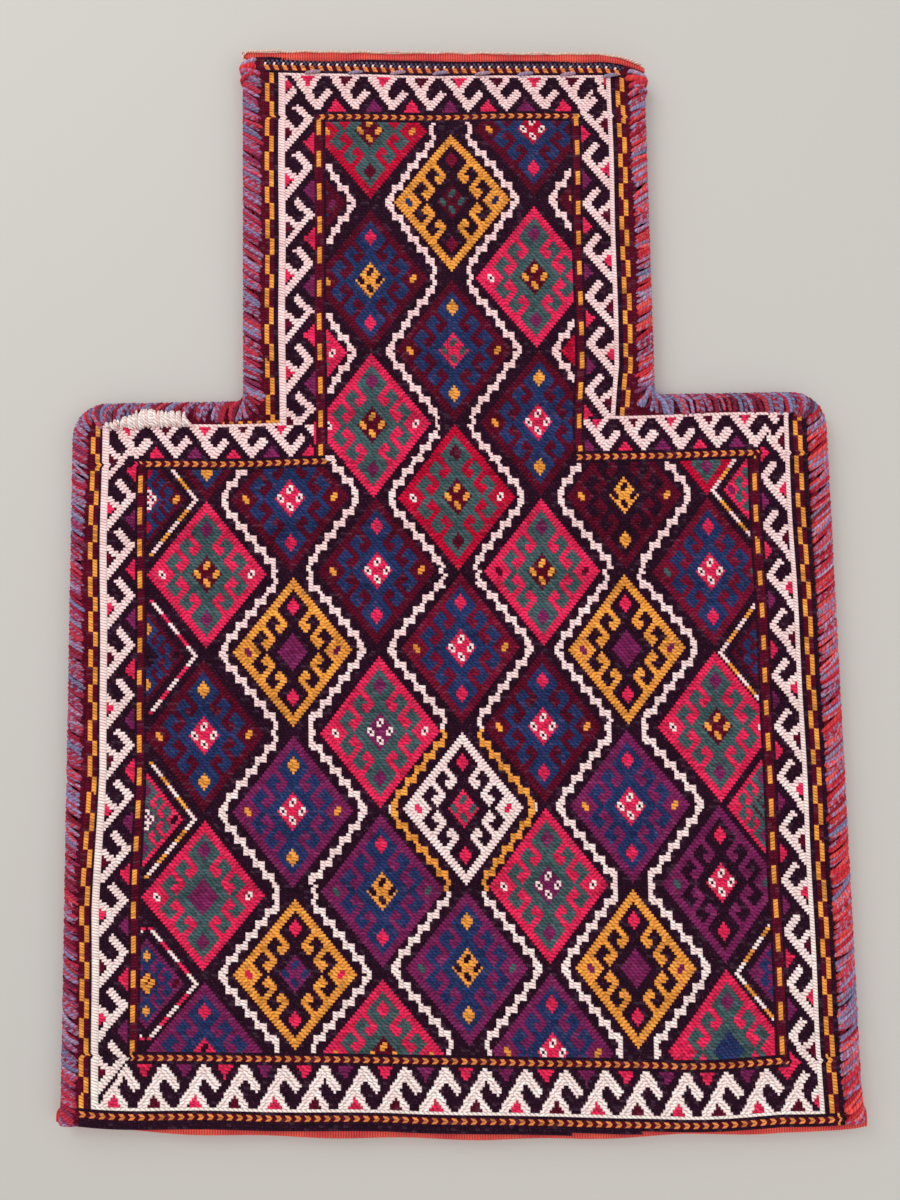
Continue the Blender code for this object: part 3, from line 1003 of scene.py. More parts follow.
def waves(x, y):
    """A slow unevenness, as wool cloth has when it lies loose."""
    return np.sin(31 * x + 17 * y + 1) * np.sin(23 * y - 11 * x) + 0.6 * np.sin(67 * x - 41 * y + 2)


def cloth_height(x, y):
    """Height of the front's surface between the stitches."""
    return FRONT_BASE + WAVE * waves(x, y)


def run_ends(new_run):
    """The place of each cell, and of the first and last cell of its run, given where runs start."""
    columns = new_run.shape[1]
    position = np.arange(columns)[None, :]
    start = np.maximum.accumulate(np.where(new_run, position, 0), axis=1)
    last = np.ones(new_run.shape, bool)
    last[:, :-1] = new_run[:, 1:]
    end = np.minimum.accumulate(np.where(last, position, columns)[:, ::-1], axis=1)[:, ::-1]
    return position, start, end


def stitch_cells(wool):
    """For each cell: whether a stitch starts in it, and where in its stitch it begins and ends."""
    new_run = np.ones(wool.shape, bool)
    new_run[:, 1:] = wool[:, 1:] != wool[:, :-1]
    position, start, end = run_ends(new_run)
    even_place = (position - start) % 2 == 0
    lonely_end = (position == end) & even_place & (end > start)
    new_stitch = new_run | (even_place & ~lonely_end)
    position, start, end = run_ends(new_stitch)
    length = end - start + 1
    begin = (position - start) / length
    return new_stitch, begin, begin + 1 / length


print("height of a stitch, mm:", round(1000 * RIDGE, 2))

# %% [markdown]
# A mesh of this size is built from arrays. `new_piece` takes the points and the faces, and corner values
# such as colours or UVs are laid on in the same order. The UV map named OFBake is the flat one that an
# export bakes into.


# %% Pieces from arrays
CORNERS = ((0, 0), (0, 1), (1, 1), (1, 0))


def joined_cells(used):
    """Which points of a grid its used cells touch, their numbers, and a face for each cell with its place."""
    lines, width = used.shape
    touched = np.zeros((lines + 1, width + 1), bool)
    for up, over in CORNERS:
        touched[up : lines + up, over : width + over] |= used
    number = np.cumsum(touched.ravel()).reshape(touched.shape) - 1
    line, column = np.nonzero(used)
    quads = np.stack([number[line + up, column + over] for up, over in CORNERS], axis=1)
    return touched, number, quads, line, column


def new_piece(name, points, faces, material):
    """A mesh object from points and faces, smooth shaded."""
    mesh = bpy.data.meshes.new(name)
    mesh.from_pydata(points, [], faces)
    mesh.shade_smooth()
    mesh.materials.append(material)
    piece = bpy.data.objects.new(name, mesh)
    scene.collection.objects.link(piece)
    return piece


def corner_map(piece, name, values):
    """A UV map with one pair of values for each corner."""
    layer = piece.data.uv_layers.new(name=name)
    layer.uv.foreach_set("vector", np.asarray(values, np.float32).ravel())


def corner_colour(piece, name, values):
    """A linear colour for each corner."""
    filled = np.ones((len(values), 4), np.float32)
    filled[:, :3] = values
    layer = piece.data.color_attributes.new(name, "FLOAT_COLOR", "CORNER")
    layer.data.foreach_set("color", filled.ravel())


# %% [markdown]
# The yarn isn't evenly dyed. Bands of one dye lot cross the whole width, the ivory turns pinker towards the
# mouth where the reds have bled into it, single stitches are lighter or darker, and some pick up fluff.

# %% The colour of each stitch
DYE_LOT = 0.08
STITCH_VARIATION = 0.16
VARIATION_LIMIT = 0.4
IVORY_VARIATION = 0.4
FLUFF_SHARE = 0.10
FLUFF_MIX = 0.05
FLUFF_COLOUR = linear((180, 140, 170))
BLED_IVORY = linear((255, 212, 210))
WOOL_COLOURS = np.array([linear(colour) for colour in WOOLS.values()])


def stitch_colours(cloth, new_stitch):
    """Linear colours of the cells. All cells of one stitch share one."""
    number = np.cumsum(new_stitch.ravel()).reshape(cloth.wool.shape)
    draws = random.normal(0, STITCH_VARIATION, number.max() + 1)
    fluff = random.random(number.max() + 1) < FLUFF_SHARE
    lot = np.sin(cloth.up * 210) + np.sin(cloth.up * 137 + 2) * np.sin(cloth.up * 61)
    level = 1 + np.clip(draws[number], -VARIATION_LIMIT, VARIATION_LIMIT) + DYE_LOT * lot
    colours = WOOL_COLOURS[cloth.wool]
    bled = np.clip((cloth.up - BOTTOM_Y) / (SHOULDER_Y - BOTTOM_Y), 0, 1)[..., None]
    bled_ivory = colours + (BLED_IVORY - colours) * bled
    ivory = ((cloth.wool == wool_number("ivory")) | (cloth.wool == wool_number("cream")))[..., None]
    level = np.where(ivory[..., 0], 1 + (level - 1) * IVORY_VARIATION, level)
    colours = np.where(ivory, bled_ivory, colours) * level[..., None]
    mix = (fluff[number] * FLUFF_MIX)[..., None]
    return np.clip(colours * (1 - mix) + FLUFF_COLOUR * mix, 0, 1)


# %% [markdown]
# The front wall has a back of its own, so that the pouch is cloth inside too. Its underside needs far fewer
# faces, so it keeps only every so many columns and closes to the upper side round the rim. The rim's faces
# are flat shaded, or the smooth shading would darken the seams between neighbouring pieces.

# %% Weave one wall of stitches
UNDER_COLUMNS = 16


def weave_wall(name, first_row, last_row, row_range, material):
    """A closed wall of stitches. Rows count from the fold at JOIN_Y, and row_range gives each its columns."""
    rows = np.arange(first_row, last_row)
    up = JOIN_Y + (rows + 0.5) * ROW
    ranges = [row_range(height) for height in up]
    left = min(start for start, _ in ranges)
    right = max(end for _, end in ranges)
    cloth = Cloth((np.arange(left, right) + 0.5) * WARP, up)
    draw_front(cloth)
    new_stitch, begin, end = stitch_cells(cloth.wool)
    colours = stitch_colours(cloth, new_stitch)
    used = np.zeros(cloth.wool.shape, bool)
    for index, (start, stop) in enumerate(ranges):
        used[index, start - left : stop - left] = True
    lines = JOIN_Y + (first_row + np.arange(2 * len(rows) + 1) / 2) * ROW
    across, line_up = np.meshgrid(np.arange(left, right + 1) * WARP, lines)
    x, y = place_on_bag(across + lean_of_rows(line_up), line_up)
    height = cloth_height(x, y)
    ridge = np.ones((len(rows), right - left + 1))
    ridge[:, :-1][new_stitch] = STITCH_END_SHARE
    ridge[:, -1] = STITCH_END_SHARE
    z = height.copy()
    z[1::2] += RIDGE * ridge
    return close_wall(name, (x, y, z), height, used, colours, (begin, end, cloth.lean), material)


# %% [markdown]
# The woven grid is an open sheet of points. It gets its faces, its second map and its colours here, and is
# then closed, because a wall of cloth has a thickness that shows at its edge.


# %% Close a wall
def close_wall(name, grid, height, used, colours, spans, material):
    """Joins the stitched upper side, the plain underside and the rim between them."""
    x, y, z = grid
    half_used = np.repeat(used, 2, axis=0)
    touched, number, quads, line, column = joined_cells(half_used)
    points = np.stack([x[touched], y[touched], z[touched]], axis=1)
    row = line // 2
    low = (line % 2) / 2
    begin, end, lean = (span[row, column] for span in spans)
    stitch = np.empty((len(row), 4, 2))
    for corner, (up, over) in enumerate(CORNERS):
        along = end if over else begin
        stitch[:, corner, 0] = along
        stitch[:, corner, 1] = low + up / 2 + lean * (along - 0.5)
    under_points, under_faces, rim_faces = plain_underside(x, y, height, half_used, number, len(points))
    faces = quads.tolist() + under_faces + rim_faces
    piece = new_piece(name, points.tolist() + under_points, faces, material)
    smooth = np.ones(len(faces), bool)
    smooth[len(quads) + len(under_faces) :] = False
    piece.data.polygons.foreach_set("use_smooth", smooth)
    plain = len(piece.data.loops) - 4 * len(quads)
    corner_map(piece, "Stitch", np.concatenate([stitch.reshape(-1, 2), np.full((plain, 2), 0.5)]))
    colour = np.repeat(colours[row, column], 4, axis=0)
    inner = np.repeat(WOOL_COLOURS[None, wool_number("garnet")], plain, axis=0)
    corner_colour(piece, "Wool", np.concatenate([colour, inner]))
    print(name, "stitched cells:", int(used.sum()), "faces:", len(faces))
    return piece


# %% [markdown]
# The underside has far fewer columns than the upper side, and its outline has steps like the upper one. So
# each strip of it is a few long faces that also take in the points of its neighbours, or the mesh would have
# gaps too thin to see.


# %% The underside and the rim of a wall
def plain_underside(x, y, height, half_used, top_number, first):
    """Points and faces of the underside, with only some columns, and the faces of the rim."""
    lines, width = x.shape
    padded = np.zeros((lines + 1, width), bool)
    padded[1:-1, :-1] = half_used
    points = []
    numbers = {}

    def under(line, column):
        if (line, column) not in numbers:
            numbers[line, column] = first + len(points)
            low = FRONT_UNDER + (height[line, column] - FRONT_BASE)
            points.append((x[line, column], y[line, column], low))
        return numbers[line, column]

    def posts(strip):
        """The columns at which the underside has an edge in one strip of cells."""
        cells = np.nonzero(strip)[0]
        if len(cells) == 0:
            return set()
        start, stop = int(cells[0]), int(cells[-1]) + 1
        return {start, stop} | {c for c in range(0, width, UNDER_COLUMNS) if start < c < stop}

    turns = [np.nonzero(padded[line] != padded[line + 1])[0].tolist() for line in range(lines)]
    line_posts = []
    for line in range(lines):
        found = posts(padded[line]) | posts(padded[line + 1]) | set(turns[line])
        line_posts.append(sorted(found | {c + 1 for c in turns[line]}))
    faces = []
    rim = []
    for line in range(lines - 1):
        own = sorted(posts(half_used[line]))
        for one, two in zip(own, own[1:]):
            lower = [under(line, c) for c in line_posts[line] if one <= c <= two]
            upper = [under(line + 1, c) for c in line_posts[line + 1] if one <= c <= two]
            faces.append(lower[::-1] + upper)
        for column, order in ((own[0], 1), (own[-1], -1)):
            tops = [int(top_number[line, column]), int(top_number[line + 1, column])]
            rim.append((tops + [under(line + 1, column), under(line, column)])[::order])
    for line in range(lines):
        for c in turns[line]:
            face = [int(top_number[line, c]), under(line, c), under(line, c + 1), int(top_number[line, c + 1])]
            rim.append(face[:: -1 if padded[line, c] else 1])
    return points, faces, rim


# %% [markdown]
# The wool's material is shared by everything on the bag. Each piece hands it a formula for the height of
# its yarn, made from the Stitch map: high in the middle of a yarn and low in the gap beside it. The same
# height feeds the bump and paints shade into the colour: the gaps are darkened where shade falls, and all
# of it is lifted to make up for that. Stretched noise stands for the fibres, and a soft sheen for the fuzz.
# Small light flecks of noise are painted highlights on the fuzz. A second colour, named Ply, is for yarn
# that is twisted from two strands.

# %% The wool material
FIBRE_SIZE = (420, 2400, 2400)
PATCH_SCALE = 70.0
FIBRE_LOW = 0.74
FIBRE_RANGE = 0.52
PATCH_LOW = 0.88
PATCH_RANGE = 0.24
# Small light flecks on the fuzz, painted into the colour as highlights.
FLUFF_HIGHLIGHT_SCALE = 1500.0
FLUFF_HIGHLIGHT_LEVEL = 0.63
FLUFF_HIGHLIGHT_GAIN = 2.2
FLUFF_HIGHLIGHT_TINT = (*linear((214, 104, 136)), 1.0)
STRAY_SCALE = 700.0
STRAY_GAIN = 7.0
FIBRE_RELIEF = 0.25
BUMP_STRENGTH = 0.9
WOOL_ROUGHNESS = 0.80
ROUGHNESS_RANGE = 0.12
WOOL_SHEEN = 0.03
SHEEN_ROUGHNESS = 0.5
WOOL_SPECULAR = 0.06


def wool_shader(name, height_of, painted_gap_shade, lift, relief, fibre_turn=0.0, two_ply=False):
    """A wool material. height_of makes a height from the Stitch map, from 0 in a gap to 1 on the yarn."""
    material = bpy.data.materials.new(name)
    material.use_nodes = True
    tree = material.node_tree
    shader = tree.nodes["Principled BSDF"]
    wire = Wire(tree)
    stitch = wire.node("ShaderNodeUVMap", {"uv_map": "Stitch"})
    along = wire.node("ShaderNodeSeparateXYZ", None, {0: stitch}, 0)
    around = wire.node("ShaderNodeSeparateXYZ", None, {0: stitch}, 1)
    place = wire.node("ShaderNodeTexCoord", output="Object")
    turned = {"Vector": place, "Rotation": (0, 0, fibre_turn), "Scale": FIBRE_SIZE}
    turned = wire.node("ShaderNodeMapping", {"vector_type": "POINT"}, turned)
    fibres = wire.node("ShaderNodeTexNoise", None, {"Vector": turned, "Scale": 1.0, "Detail": 2.0})
    patches = wire.node("ShaderNodeTexNoise", None, {"Vector": place, "Scale": PATCH_SCALE, "Detail": 3.0})
    height, ply = height_of(wire, along, around)
    colour = wire.node("ShaderNodeAttribute", {"attribute_name": "Wool"}, output="Color")
    if two_ply:
        other = wire.node("ShaderNodeAttribute", {"attribute_name": "Ply"}, output="Color")
        colour = colour.mix(other, ply)
    # Painted highlights: light flecks of noise on the fuzz, mixed into the colour.
    fluff = wire.node("ShaderNodeTexNoise", None, {"Vector": place, "Scale": FLUFF_HIGHLIGHT_SCALE, "Detail": 2.0})
    fluff = wire.math("MAXIMUM", fluff - FLUFF_HIGHLIGHT_LEVEL, 0.0) * FLUFF_HIGHLIGHT_GAIN
    colour = colour.mix(FLUFF_HIGHLIGHT_TINT, fluff)
    # Painted shade: the colour is darkened in the gaps between yarns, between plies and at a stitch's ends, and
    # lifted everywhere to make up for it.
    shade = lift * (1 - painted_gap_shade * (1 - height))
    shade = shade * (FIBRE_LOW + FIBRE_RANGE * fibres) * (PATCH_LOW + PATCH_RANGE * patches)
    tone = wire.node("ShaderNodeCombineColor", None, {0: shade, 1: shade, 2: shade})
    tree.links.new(colour.mix(tone, 1.0, "MULTIPLY").socket, shader.inputs["Base Color"])
    rough = WOOL_ROUGHNESS + ROUGHNESS_RANGE * fibres
    tree.links.new(rough.socket, shader.inputs["Roughness"])
    relief_height = height + FIBRE_RELIEF * fibres
    bump = {"Strength": BUMP_STRENGTH, "Distance": relief, "Height": relief_height}
    bump = wire.node("ShaderNodeBump", None, bump)
    tree.links.new(bump.socket, shader.inputs["Normal"])
    shader.inputs["Sheen Weight"].default_value = WOOL_SHEEN
    shader.inputs["Sheen Roughness"].default_value = SHEEN_ROUGHNESS
    shader.inputs["Specular IOR Level"].default_value = WOOL_SPECULAR
    return material


# %% [markdown]
# Three formulas give three kinds of yarn their height. A wrapped stitch is a short bead. A plied yarn is a
# screw with two threads, so it is a sine of how far along and how far round the yarn a point lies. A plain
# weave beaten down hard shows its ribs, with the rows faint across them.

# %% Three kinds of yarn
# How strongly painted shade darkens the gaps of each kind of yarn, and how much its colour is lifted to make up
# for it.
FRONT_GAP_SHADE = 0.55
FRONT_LIFT = 1.32
TWIST_GAP_SHADE = 0.42
TWIST_LIFT = 1.25
RIB_GAP_SHADE = 0.62
RIB_LIFT = 1.35
YARN_BUMP = 0.0004
RIB_BUMP = 0.0003


def wrapped_stitch(wire, along, around):
    """Height of one wrapped stitch: full across its middle, with a strong gap above and below it."""
    from_middle = abs(2 * wire.math("FRACT", around) - 1)
    ends = abs(2 * along - 1) ** 5
    return (1 - from_middle**3) * (1 - 0.6 * ends), None


def twisted_yarn(wire, along, around):
    """Height of a yarn twisted from two plies, and which ply it is. Stray fibres blur the line between them."""
    wave = wire.math("SINE", (around - along) * math.tau)
    place = wire.node("ShaderNodeTexCoord", output="Object")
    stray = wire.node("ShaderNodeTexNoise", None, {"Vector": place, "Scale": STRAY_SCALE, "Detail": 3.0})
    return abs(wave) ** 0.5, (wave + STRAY_GAIN * (stray - 0.5)).above(0.0)


def ribbed_weave(wire, along, around):
    """Height of a plain weave packed so tight that it shows only ribs."""
    rib = abs(wire.math("SINE", along * math.pi)) ** 0.6
    weft = abs(wire.math("SINE", around * math.pi))
    return rib * (0.7 + 0.3 * weft), None


front_wool = wool_shader("front_wool", wrapped_stitch, FRONT_GAP_SHADE, FRONT_LIFT, YARN_BUMP, math.atan(LEAN))
twisted_wool = wool_shader("twisted_wool", twisted_yarn, TWIST_GAP_SHADE, TWIST_LIFT, YARN_BUMP, 0.0, True)
ribbed_wool = wool_shader("ribbed_wool", ribbed_weave, RIB_GAP_SHADE, RIB_LIFT, RIB_BUMP, math.pi / 2)
for wool in (front_wool, twisted_wool, ribbed_wool):
    print(wool.name, "nodes:", len(wool.node_tree.nodes))

# %% [markdown]
# The front is woven in three pieces, where the bag's neck folds down at the shoulders and its mouth opens.
# The body's wall runs on a little past the shoulders, to where the neck's wall starts, and the neck's wall
# is a left and a right half that meet in its middle.

# %% Weave the front
SIDE_COLUMNS = 159
NECK_COLUMNS = 84
TUCK = 0.0045
CLOTH_BOTTOM = 0.0014
CLOTH_TOP_EDGE = 0.0025
LOW_ENDS = (0.055, 0.090)
BODY_ROWS = round((JOIN_Y - (BOTTOM_Y + CLOTH_BOTTOM)) / ROW)
NECK_ROWS = round((MOUTH_Y - CLOTH_TOP_EDGE - JOIN_Y) / ROW)


def body_range(up):
    """The columns of a row of the body's wall, cut back in the corners and at the lower right."""
    over = up - (SHOULDER_Y - CORNER_RADIUS)
    reach = CORNER_RADIUS - TUCK
    if over >= reach:
        return -NECK_COLUMNS, NECK_COLUMNS
    inset = reach - math.sqrt(reach**2 - max(over, 0) ** 2)
    columns = SIDE_COLUMNS - int(inset / WARP)
    row = round((up - BOTTOM_Y - CLOTH_BOTTOM) / ROW)
    if row < len(LOW_ENDS):
        return -columns, round(LOW_ENDS[row] / WARP)
    return -columns, columns


body_front = weave_wall("body_front", -BODY_ROWS, 0, body_range, front_wool)
neck_front_left = weave_wall("neck_front_left", 0, NECK_ROWS, lambda up: (-NECK_COLUMNS, 0), front_wool)
neck_front_right = weave_wall("neck_front_right", 0, NECK_ROWS, lambda up: (0, NECK_COLUMNS), front_wool)

# %% [markdown]
# The back isn't in the photograph. Such bags are nearly always plain there: wool in one colour, woven so
# tight that only its ribs show. So the back is brick red like the fold at the bottom. It is a thin slab
# with a rib for every two warps, raised in the mesh on both sides, and its rows of faces stand closer where
# the neck folds, or the bend would be a few flat steps that cut into the front.

# %% Weave the back
RIB = 0.0024
RIB_STEPS = 4
RIB_RELIEF = 0.00022
BACK_ROW = 0.0058
FOLD_ROW = 0.0012
FOLD_MARGIN = 0.006
BACK_WAVE = 0.00022
BACK_EDGE = 0.0012
BRICK = linear((196, 66, 56))
DARK_BRICK = linear((166, 50, 48))


def woven_slab(name, x, y, low, high, used, material, colours):
    """A closed slab over the used cells of a grid, given the heights of its two sides."""
    lines, width = x.shape
    touched, number, quads, _, _ = joined_cells(used)
    total = int(touched.sum())
    upper = np.stack([x[touched], y[touched], high[touched]], axis=1)
    lower = np.stack([x[touched], y[touched], low[touched]], axis=1)
    faces = np.concatenate([quads, quads[:, ::-1] + total])
    padded = np.zeros((lines + 1, width + 1), bool)
    padded[1:-1, 1:-1] = used
    rims = []
    for (up, over), first, second in (
        ((0, -1), (0, 0), (1, 0)),
        ((0, 1), (1, 1), (0, 1)),
        ((-1, 0), (0, 1), (0, 0)),
        ((1, 0), (1, 0), (1, 1)),
    ):
        neighbour = padded[1 + up : lines + up, 1 + over : width + over]
        at_line, at_column = np.nonzero(used & ~neighbour)
        one = number[at_line + first[0], at_column + first[1]]
        two = number[at_line + second[0], at_column + second[1]]
        rims.append(np.stack([one, two, two + total, one + total], axis=1))
    faces = np.concatenate([faces, *rims])
    piece = new_piece(name, np.concatenate([upper, lower]).tolist(), faces.tolist(), material)
    corner_x = np.concatenate([upper[:, 0], lower[:, 0]])[faces.ravel()]
    corner_y = np.concatenate([upper[:, 1], lower[:, 1]])[faces.ravel()]
    corner_map(piece, "Stitch", np.stack([corner_x / RIB, corner_y / ROW], axis=1))
    shade = 0.5 + 0.5 * np.sin(140 * corner_y + 3 * corner_x) * np.sin(47 * corner_y + 1)
    corner_colour(piece, "Wool", colours[0] + (colours[1] - colours[0]) * shade[:, None])
    print(name, "faces:", len(faces))
    return piece


def weave_back():
    step = RIB / RIB_STEPS
    across = np.arange(-round(SIDE_COLUMNS * WARP / step), round(SIDE_COLUMNS * WARP / step) + 1) * step
    low, high = SHOULDER_Y - FOLD_MARGIN, JOIN_Y + FOLD_MARGIN
    body = np.arange(BOTTOM_Y + CLOTH_BOTTOM, low, BACK_ROW)
    neck = np.arange(high, MOUTH_Y - BACK_EDGE, BACK_ROW)
    up = np.concatenate([body, np.arange(low, high, FOLD_ROW), neck, [MOUTH_Y - BACK_EDGE]])
    across, up = np.meshgrid(across, up)
    x, y = place_on_bag(across, up)
    used = np.zeros((up.shape[0] - 1, up.shape[1] - 1), bool)
    for row in range(len(used)):
        reach = body_range(up[row + 1, 0])[1] * WARP
        used[row] = np.abs(across[row, :-1] + step / 2) < reach
    ribs = RIB_RELIEF * (np.abs(np.sin(math.pi * across / RIB)) - 1)
    wave = BACK_WAVE * waves(x, y)
    high = BACK_TOP - 2 * BACK_WAVE + wave + ribs
    low = np.maximum(wave, 0) * 0.5 - ribs
    return woven_slab("back_cloth", x, y, low, high, used, ribbed_wool, (BRICK, DARK_BRICK))


back_cloth = weave_back()

# %% [markdown]
# At the bottom the front's cloth runs on into the back's and shows as a brick-red roll. The mouth's edge is
# turned over and woven in the same wool. Both are ribbed bands: a rounded section is carried along the
# edge, and swells and shrinks a little with each rib.

# %% Ribbed bands: bottom fold and hems
BAND_RIB = 0.0013
BAND_STEPS = 4
SECTION_POINTS = 14
SECTION_POWER = 0.6
BAND_RELIEF = 0.00036
FOLD_WIDTH = 0.0060
HEM_WIDTH = 0.0057
FOLD_DROPS = (
    (-0.20, -0.18, -0.08, 0.01, 0.06, 0.11, 0.16, 0.195),
    (0.0, 0.0010, 0.0030, 0.0042, 0.0040, 0.0020, 0.0018, 0.0042),
)
HEM_TAPER = 0.25
TAPER_RUN = 0.036
END_ROUND = 0.35
END_RUN = 0.004
FOLD_TOP = CLOTH_TOP - 0.0014
HEM_BRIGHT = linear((232, 92, 76))
HEM_DARK = linear((206, 68, 68))


def softened(value, power):
    """A sine or cosine pushed outwards, which turns a circle into a rounded box."""
    return np.sign(value) * np.abs(value) ** power


def hem_width(x):
    """The hem's width, which shrinks towards the right and rounds off at its left end."""
    taper = 1 - HEM_TAPER * np.clip((x - NECK_HALF + TAPER_RUN) / TAPER_RUN, 0, 1)
    rounding = np.clip(1 - (x + NECK_HALF) / END_RUN, 0, 1) ** 2
    return HEM_WIDTH * taper * (1 - END_ROUND * rounding)


def fold_line(x):
    """The lower edge of the bottom fold, which bulges a little below the sewn edge."""
    return bottom_line(x) - np.interp(x, *FOLD_DROPS)


def fold_width(x):
    """The bottom fold's width, which always reaches up under the cloth."""
    return FOLD_WIDTH + np.interp(x, *FOLD_DROPS)


# %% [markdown]
# The band itself is a row of sections. Each is a circle pushed out towards a box, which rests flat on the
# cloth below it and is still round at its edges.


# %% Carry a section along an edge
def ribbed_band(name, start, stop, line, inwards, width_at, low, high):
    """A closed ribbed band along an edge, from start to stop in x."""
    count = round((stop - start) / BAND_RIB * BAND_STEPS)
    x = np.linspace(start, stop, count + 1)[:, None]
    width = width_at(x)
    angle = np.arange(SECTION_POINTS)[None, :] * math.tau / SECTION_POINTS
    relief = BAND_RELIEF * (np.abs(np.sin(math.pi * x / BAND_RIB)) - 0.5) + BAND_RELIEF * np.sin(90 * x + 1)
    half = width / 2 - 1.5 * BAND_RELIEF
    tall = (high - low) / 2 - 1.5 * BAND_RELIEF
    y = line(x) + inwards * (width / 2 + (half + relief) * softened(np.cos(angle), SECTION_POWER))
    z = (low + high) / 2 + (tall + relief) * softened(np.sin(angle), SECTION_POWER)
    points = np.stack([np.broadcast_to(x, y.shape), y, z], axis=2).reshape(-1, 3)
    step, turn_ = np.meshgrid(np.arange(count), np.arange(SECTION_POINTS), indexing="ij")
    following = (turn_ + 1) % SECTION_POINTS
    quads = [step * SECTION_POINTS + turn_, (step + 1) * SECTION_POINTS + turn_]
    quads += [(step + 1) * SECTION_POINTS + following, step * SECTION_POINTS + following]
    quads = np.stack(quads, axis=2).reshape(-1, 4)
    if inwards > 0:
        quads = quads[:, ::-1]
    last = count * SECTION_POINTS
    ends = [list(range(SECTION_POINTS)), [last + number for number in range(SECTION_POINTS)][::-1]]
    if inwards > 0:
        ends = [end[::-1] for end in ends]
    piece = new_piece(name, points.tolist(), quads.tolist() + [end[::-1] for end in ends], ribbed_wool)
    flat = np.concatenate([quads.ravel(), np.array(ends).ravel()])
    around = (flat % SECTION_POINTS) * 0.5
    corner_map(piece, "Stitch", np.stack([points[flat, 0] / BAND_RIB, around], axis=1))
    shade = 0.5 + 0.5 * np.sin(210 * points[flat, 0]) * np.sin(83 * points[flat, 0] + 2)
    corner_colour(piece, "Wool", HEM_DARK + (HEM_BRIGHT - HEM_DARK) * shade[:, None])
    print(name, "faces:", len(quads))
    return piece


bottom_roll = ribbed_band("bottom_roll", -BOTTOM_HALF, BOTTOM_HALF, fold_line, 1, fold_width, 0.0, FOLD_TOP)
HEM_LOW = FRONT_UNDER
HEM_HIGH = CLOTH_TOP + 0.0002
front_hem_left = ribbed_band("front_hem_left", -NECK_HALF, 0, mouth_line, -1, hem_width, HEM_LOW, HEM_HIGH)
front_hem_right = ribbed_band("front_hem_right", 0, NECK_HALF, mouth_line, -1, hem_width, HEM_LOW, HEM_HIGH)
back_hem = ribbed_band("back_hem", -NECK_HALF, NECK_HALF, mouth_line, -1, hem_width, 0.0, BACK_TOP)

# %% [markdown]
# Everything else on the bag is yarn: hundreds of turns wound over its edges, a mended shoulder, small
# tacking stitches and knots. One function lays any number of yarns into one mesh, as tubes along lines of
# points. Their Stitch map runs along the yarn in turns of its twist.

# %% Yarns from lines of points
YARN_SIDES = 6
TWIST = 0.0036
TWIST_CHANGE = 0.15
PLY_CHANGE = 0.16


def unit(vectors):
    return vectors / np.linalg.norm(vectors, axis=-1, keepdims=True)


def yarn_piece(name, paths, radii, colours, reference, closed=True, plies=None):
    """Yarns of the same number of points as one mesh. The reference direction never runs along a yarn."""
    count, length, _ = paths.shape
    if closed:
        ahead, behind = np.roll(paths, -1, axis=1), np.roll(paths, 1, axis=1)
    else:
        ahead = np.concatenate([paths[:, 1:], paths[:, -1:]], axis=1)
        behind = np.concatenate([paths[:, :1], paths[:, :-1]], axis=1)
    tangent = unit(ahead - behind)
    side = unit(np.cross(tangent, reference))
    over = np.cross(side, tangent)
    angle = (np.arange(YARN_SIDES) * math.tau / YARN_SIDES)[:, None]
    ring = side[:, :, None] * np.cos(angle) + over[:, :, None] * np.sin(angle)
    points = paths[:, :, None] + radii[:, :, None, None] * ring
    segments = length if closed else length - 1
    yarn, step, turn_ = np.meshgrid(np.arange(count), np.arange(segments), np.arange(YARN_SIDES), indexing="ij")
    start = (yarn * length + step) * YARN_SIDES
    stop = (yarn * length + (step + 1) % length) * YARN_SIDES
    following = (turn_ + 1) % YARN_SIDES
    quads = np.stack([start + turn_, stop + turn_, stop + following, start + following], axis=3)
    steps = np.linalg.norm(np.diff(paths, axis=1, append=paths[:, :1]), axis=2)
    run = np.concatenate([np.zeros((count, 1)), np.cumsum(steps, axis=1)], axis=1) / TWIST
    run = run * (1 + random.normal(0, TWIST_CHANGE, (count, 1))) + random.random((count, 1))
    begin, end = run[:, :segments, None], run[:, 1 : segments + 1, None]
    around = turn_ / YARN_SIDES
    u = np.stack([begin + 0 * around, end + 0 * around, end + 0 * around, begin + 0 * around], axis=3)
    v = np.stack([around, around, around + 1 / YARN_SIDES, around + 1 / YARN_SIDES], axis=3)
    stitch = np.stack([u, v], axis=4).reshape(-1, 2)
    colours = np.stack([colours, colours * (1 - PLY_CHANGE) if plies is None else plies], axis=1)
    colour = np.repeat(np.clip(colours, 0, 1), segments * YARN_SIDES * 4, axis=0)
    faces = quads.reshape(-1, 4).tolist()
    if not closed:
        first = np.arange(count)[:, None] * length * YARN_SIDES + np.arange(YARN_SIDES)
        caps = np.concatenate([first, (first + (length - 1) * YARN_SIDES)[:, ::-1]])
        faces += caps.tolist()
        stitch = np.concatenate([stitch, np.full((caps.size, 2), 0.25)])
        colour = np.concatenate([colour, np.repeat(np.tile(colours, (2, 1, 1)), YARN_SIDES, axis=0)])
    piece = new_piece(name, points.reshape(-1, 3).tolist(), faces, twisted_wool)
    corner_map(piece, "Stitch", stitch)
    corner_colour(piece, "Wool", colour[:, 0])
    corner_colour(piece, "Ply", colour[:, 1])
    print(name, "yarns:", count, "faces:", len(faces))
    return piece


# %% [markdown]
# The bag's edge is one line of points on either side, from the bottom tip up the side, round the shoulder
# corner, in to the foot of the neck and up to the mouth. A `Rail` can be asked for the point at any distance
# along it and for the direction that leads into the cloth there.

# %% The edge as a rail
ARC_STEPS = 10
FOOT_ROUND = 0.004


